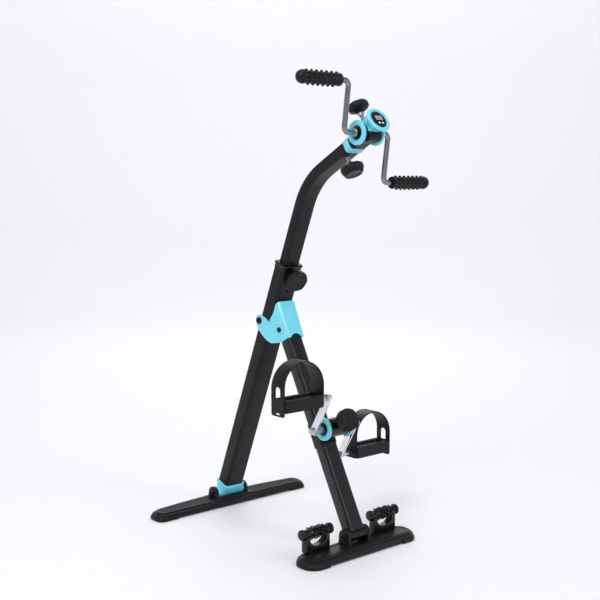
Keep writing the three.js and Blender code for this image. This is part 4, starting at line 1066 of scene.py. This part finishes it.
def pedals():
    for side, sign in SIDES.items():
        at = PEDAL_AT[side]
        piece(f"tread_{side}", f"pedal_{side}", MOULDED, on_side(tread_form(), sign), at,
              [f"pedal_{side}"], sharp=30)
        turned = [(on_side(form, sign), at) for form in strap_cuts()]
        bore = lathe([(-PEDAL_HALF - 4, 6), (-PEDAL_HALF + 4, 6)], 32)
        turned.append((on_side(bore, sign), at))
        piece(f"strap_{side}", f"pedal_{side}", RUBBER, on_side(strap_form(), sign), at,
              [f"pedal_strap_{side}"], cuts=turned)
        studs = together(lathe([(PEDAL_HALF - 0.2, 2.4), (PEDAL_HALF - 0.1, 1.2)], 24).moved(y=y)
                         for y in (-7.0, 7.0))
        piece(f"strap_rivets_{side}", f"pedal_{side}", STEEL, on_side(studs, sign), at)


# ------------------------------------------------------------------ stage, lights and camera

GROUND = (0.90, 0.90, 0.925)
CAMERA = {"x": -1.4122, "y": -1.68125, "z": 0.7488, "azimuth": -40.37, "elevation": 6.38}
LENS, SENSOR = 61.56, 36.0


def stage():
    """A pale floor that curves up into a backdrop all round."""
    radius, bend, height = 3.6, 1.6, 4.0
    profile = [(0.0, 0.001), (0.0, radius)]
    for i in range(1, 17):
        angle = math.radians(90 * i / 16)
        profile.append((bend * (1 - math.cos(angle)), radius + bend * math.sin(angle)))
    profile.append((height, radius + bend))
    bowl = lathe_z(profile, 96)
    mesh = bpy.data.meshes.new("studio_floor")
    mesh.from_pydata(bowl.points, [], bowl.faces[:-1])
    mesh.shade_smooth()
    mesh.materials.append(surface("pale_floor", GROUND, 0.75, mottle=0.004, smudge=0.02))
    floor = linked("studio_floor", mesh)


def area_light(name, position, target, size, power):
    data = bpy.data.lights.new(name, "AREA")
    data.shape = "RECTANGLE"
    data.size, data.size_y = size
    data.energy = power
    lamp = linked(name, data)
    lamp.location = position
    direction = Vector(target) - Vector(position)
    lamp.rotation_euler = direction.to_track_quat("-Z", "Y").to_euler()


def lights():
    """Soft boxes round the machine, and wide ones that wash the backdrop behind it."""
    aim = (0, 0, 0.45)
    area_light("key", (-2.4, -1.0, 2.8), aim, (1.5, 1.5), 60)
    area_light("front", (0.9, -2.9, 2.2), aim, (1.0, 1.8), 22)
    area_light("overhead", (0.2, 0.2, 3.6), (0, 0, 0), (2.6, 2.6), 24)
    area_light("back", (1.8, 2.4, 2.6), aim, (1.6, 1.6), 14)
    area_light("backdrop_wash", (1.7, 2.0, 4.4), (4.0, 4.7, 0.6), (3.0, 3.0), 78)
    world = bpy.data.worlds.new("studio")
    world.use_nodes = True
    background = world.node_tree.nodes["Background"]
    background.inputs["Color"].default_value = (0.96, 0.97, 1.0, 1)
    background.inputs["Strength"].default_value = 0.30
    bpy.context.scene.world = world


def camera():
    azimuth, elevation = math.radians(CAMERA["azimuth"]), math.radians(CAMERA["elevation"])
    back = Vector((math.sin(azimuth) * math.cos(elevation),
                   -math.cos(azimuth) * math.cos(elevation), math.sin(elevation)))
    right = Vector((math.cos(azimuth), math.sin(azimuth), 0))
    up = back.cross(right)
    data = bpy.data.cameras.new("camera")
    data.lens, data.sensor_width = LENS, SENSOR
    data.sensor_fit = "HORIZONTAL"
    eye = linked("camera", data)
    turn = Matrix((right, up, back)).transposed().to_4x4()
    eye.matrix_world = Matrix.Translation((CAMERA["x"], CAMERA["y"], CAMERA["z"])) @ turn
    bpy.context.scene.camera = eye


def hidden_nodes():
    """Sealed inner pieces keep their CAD shape with a finished material."""
    for node in ("head_brake_pad", "foot_brake_pad"):
        mesh = frame["nodes"][node].data
        mesh.materials.clear()
        mesh.materials.append(RUBBER)


rear_base()
front_base()
post()
mast()
head()
hand_crank()
leg()
foot_crank()
pedals()
hidden_nodes()
stage()
lights()
camera()
bpy.context.scene.view_settings.view_transform = "Standard"
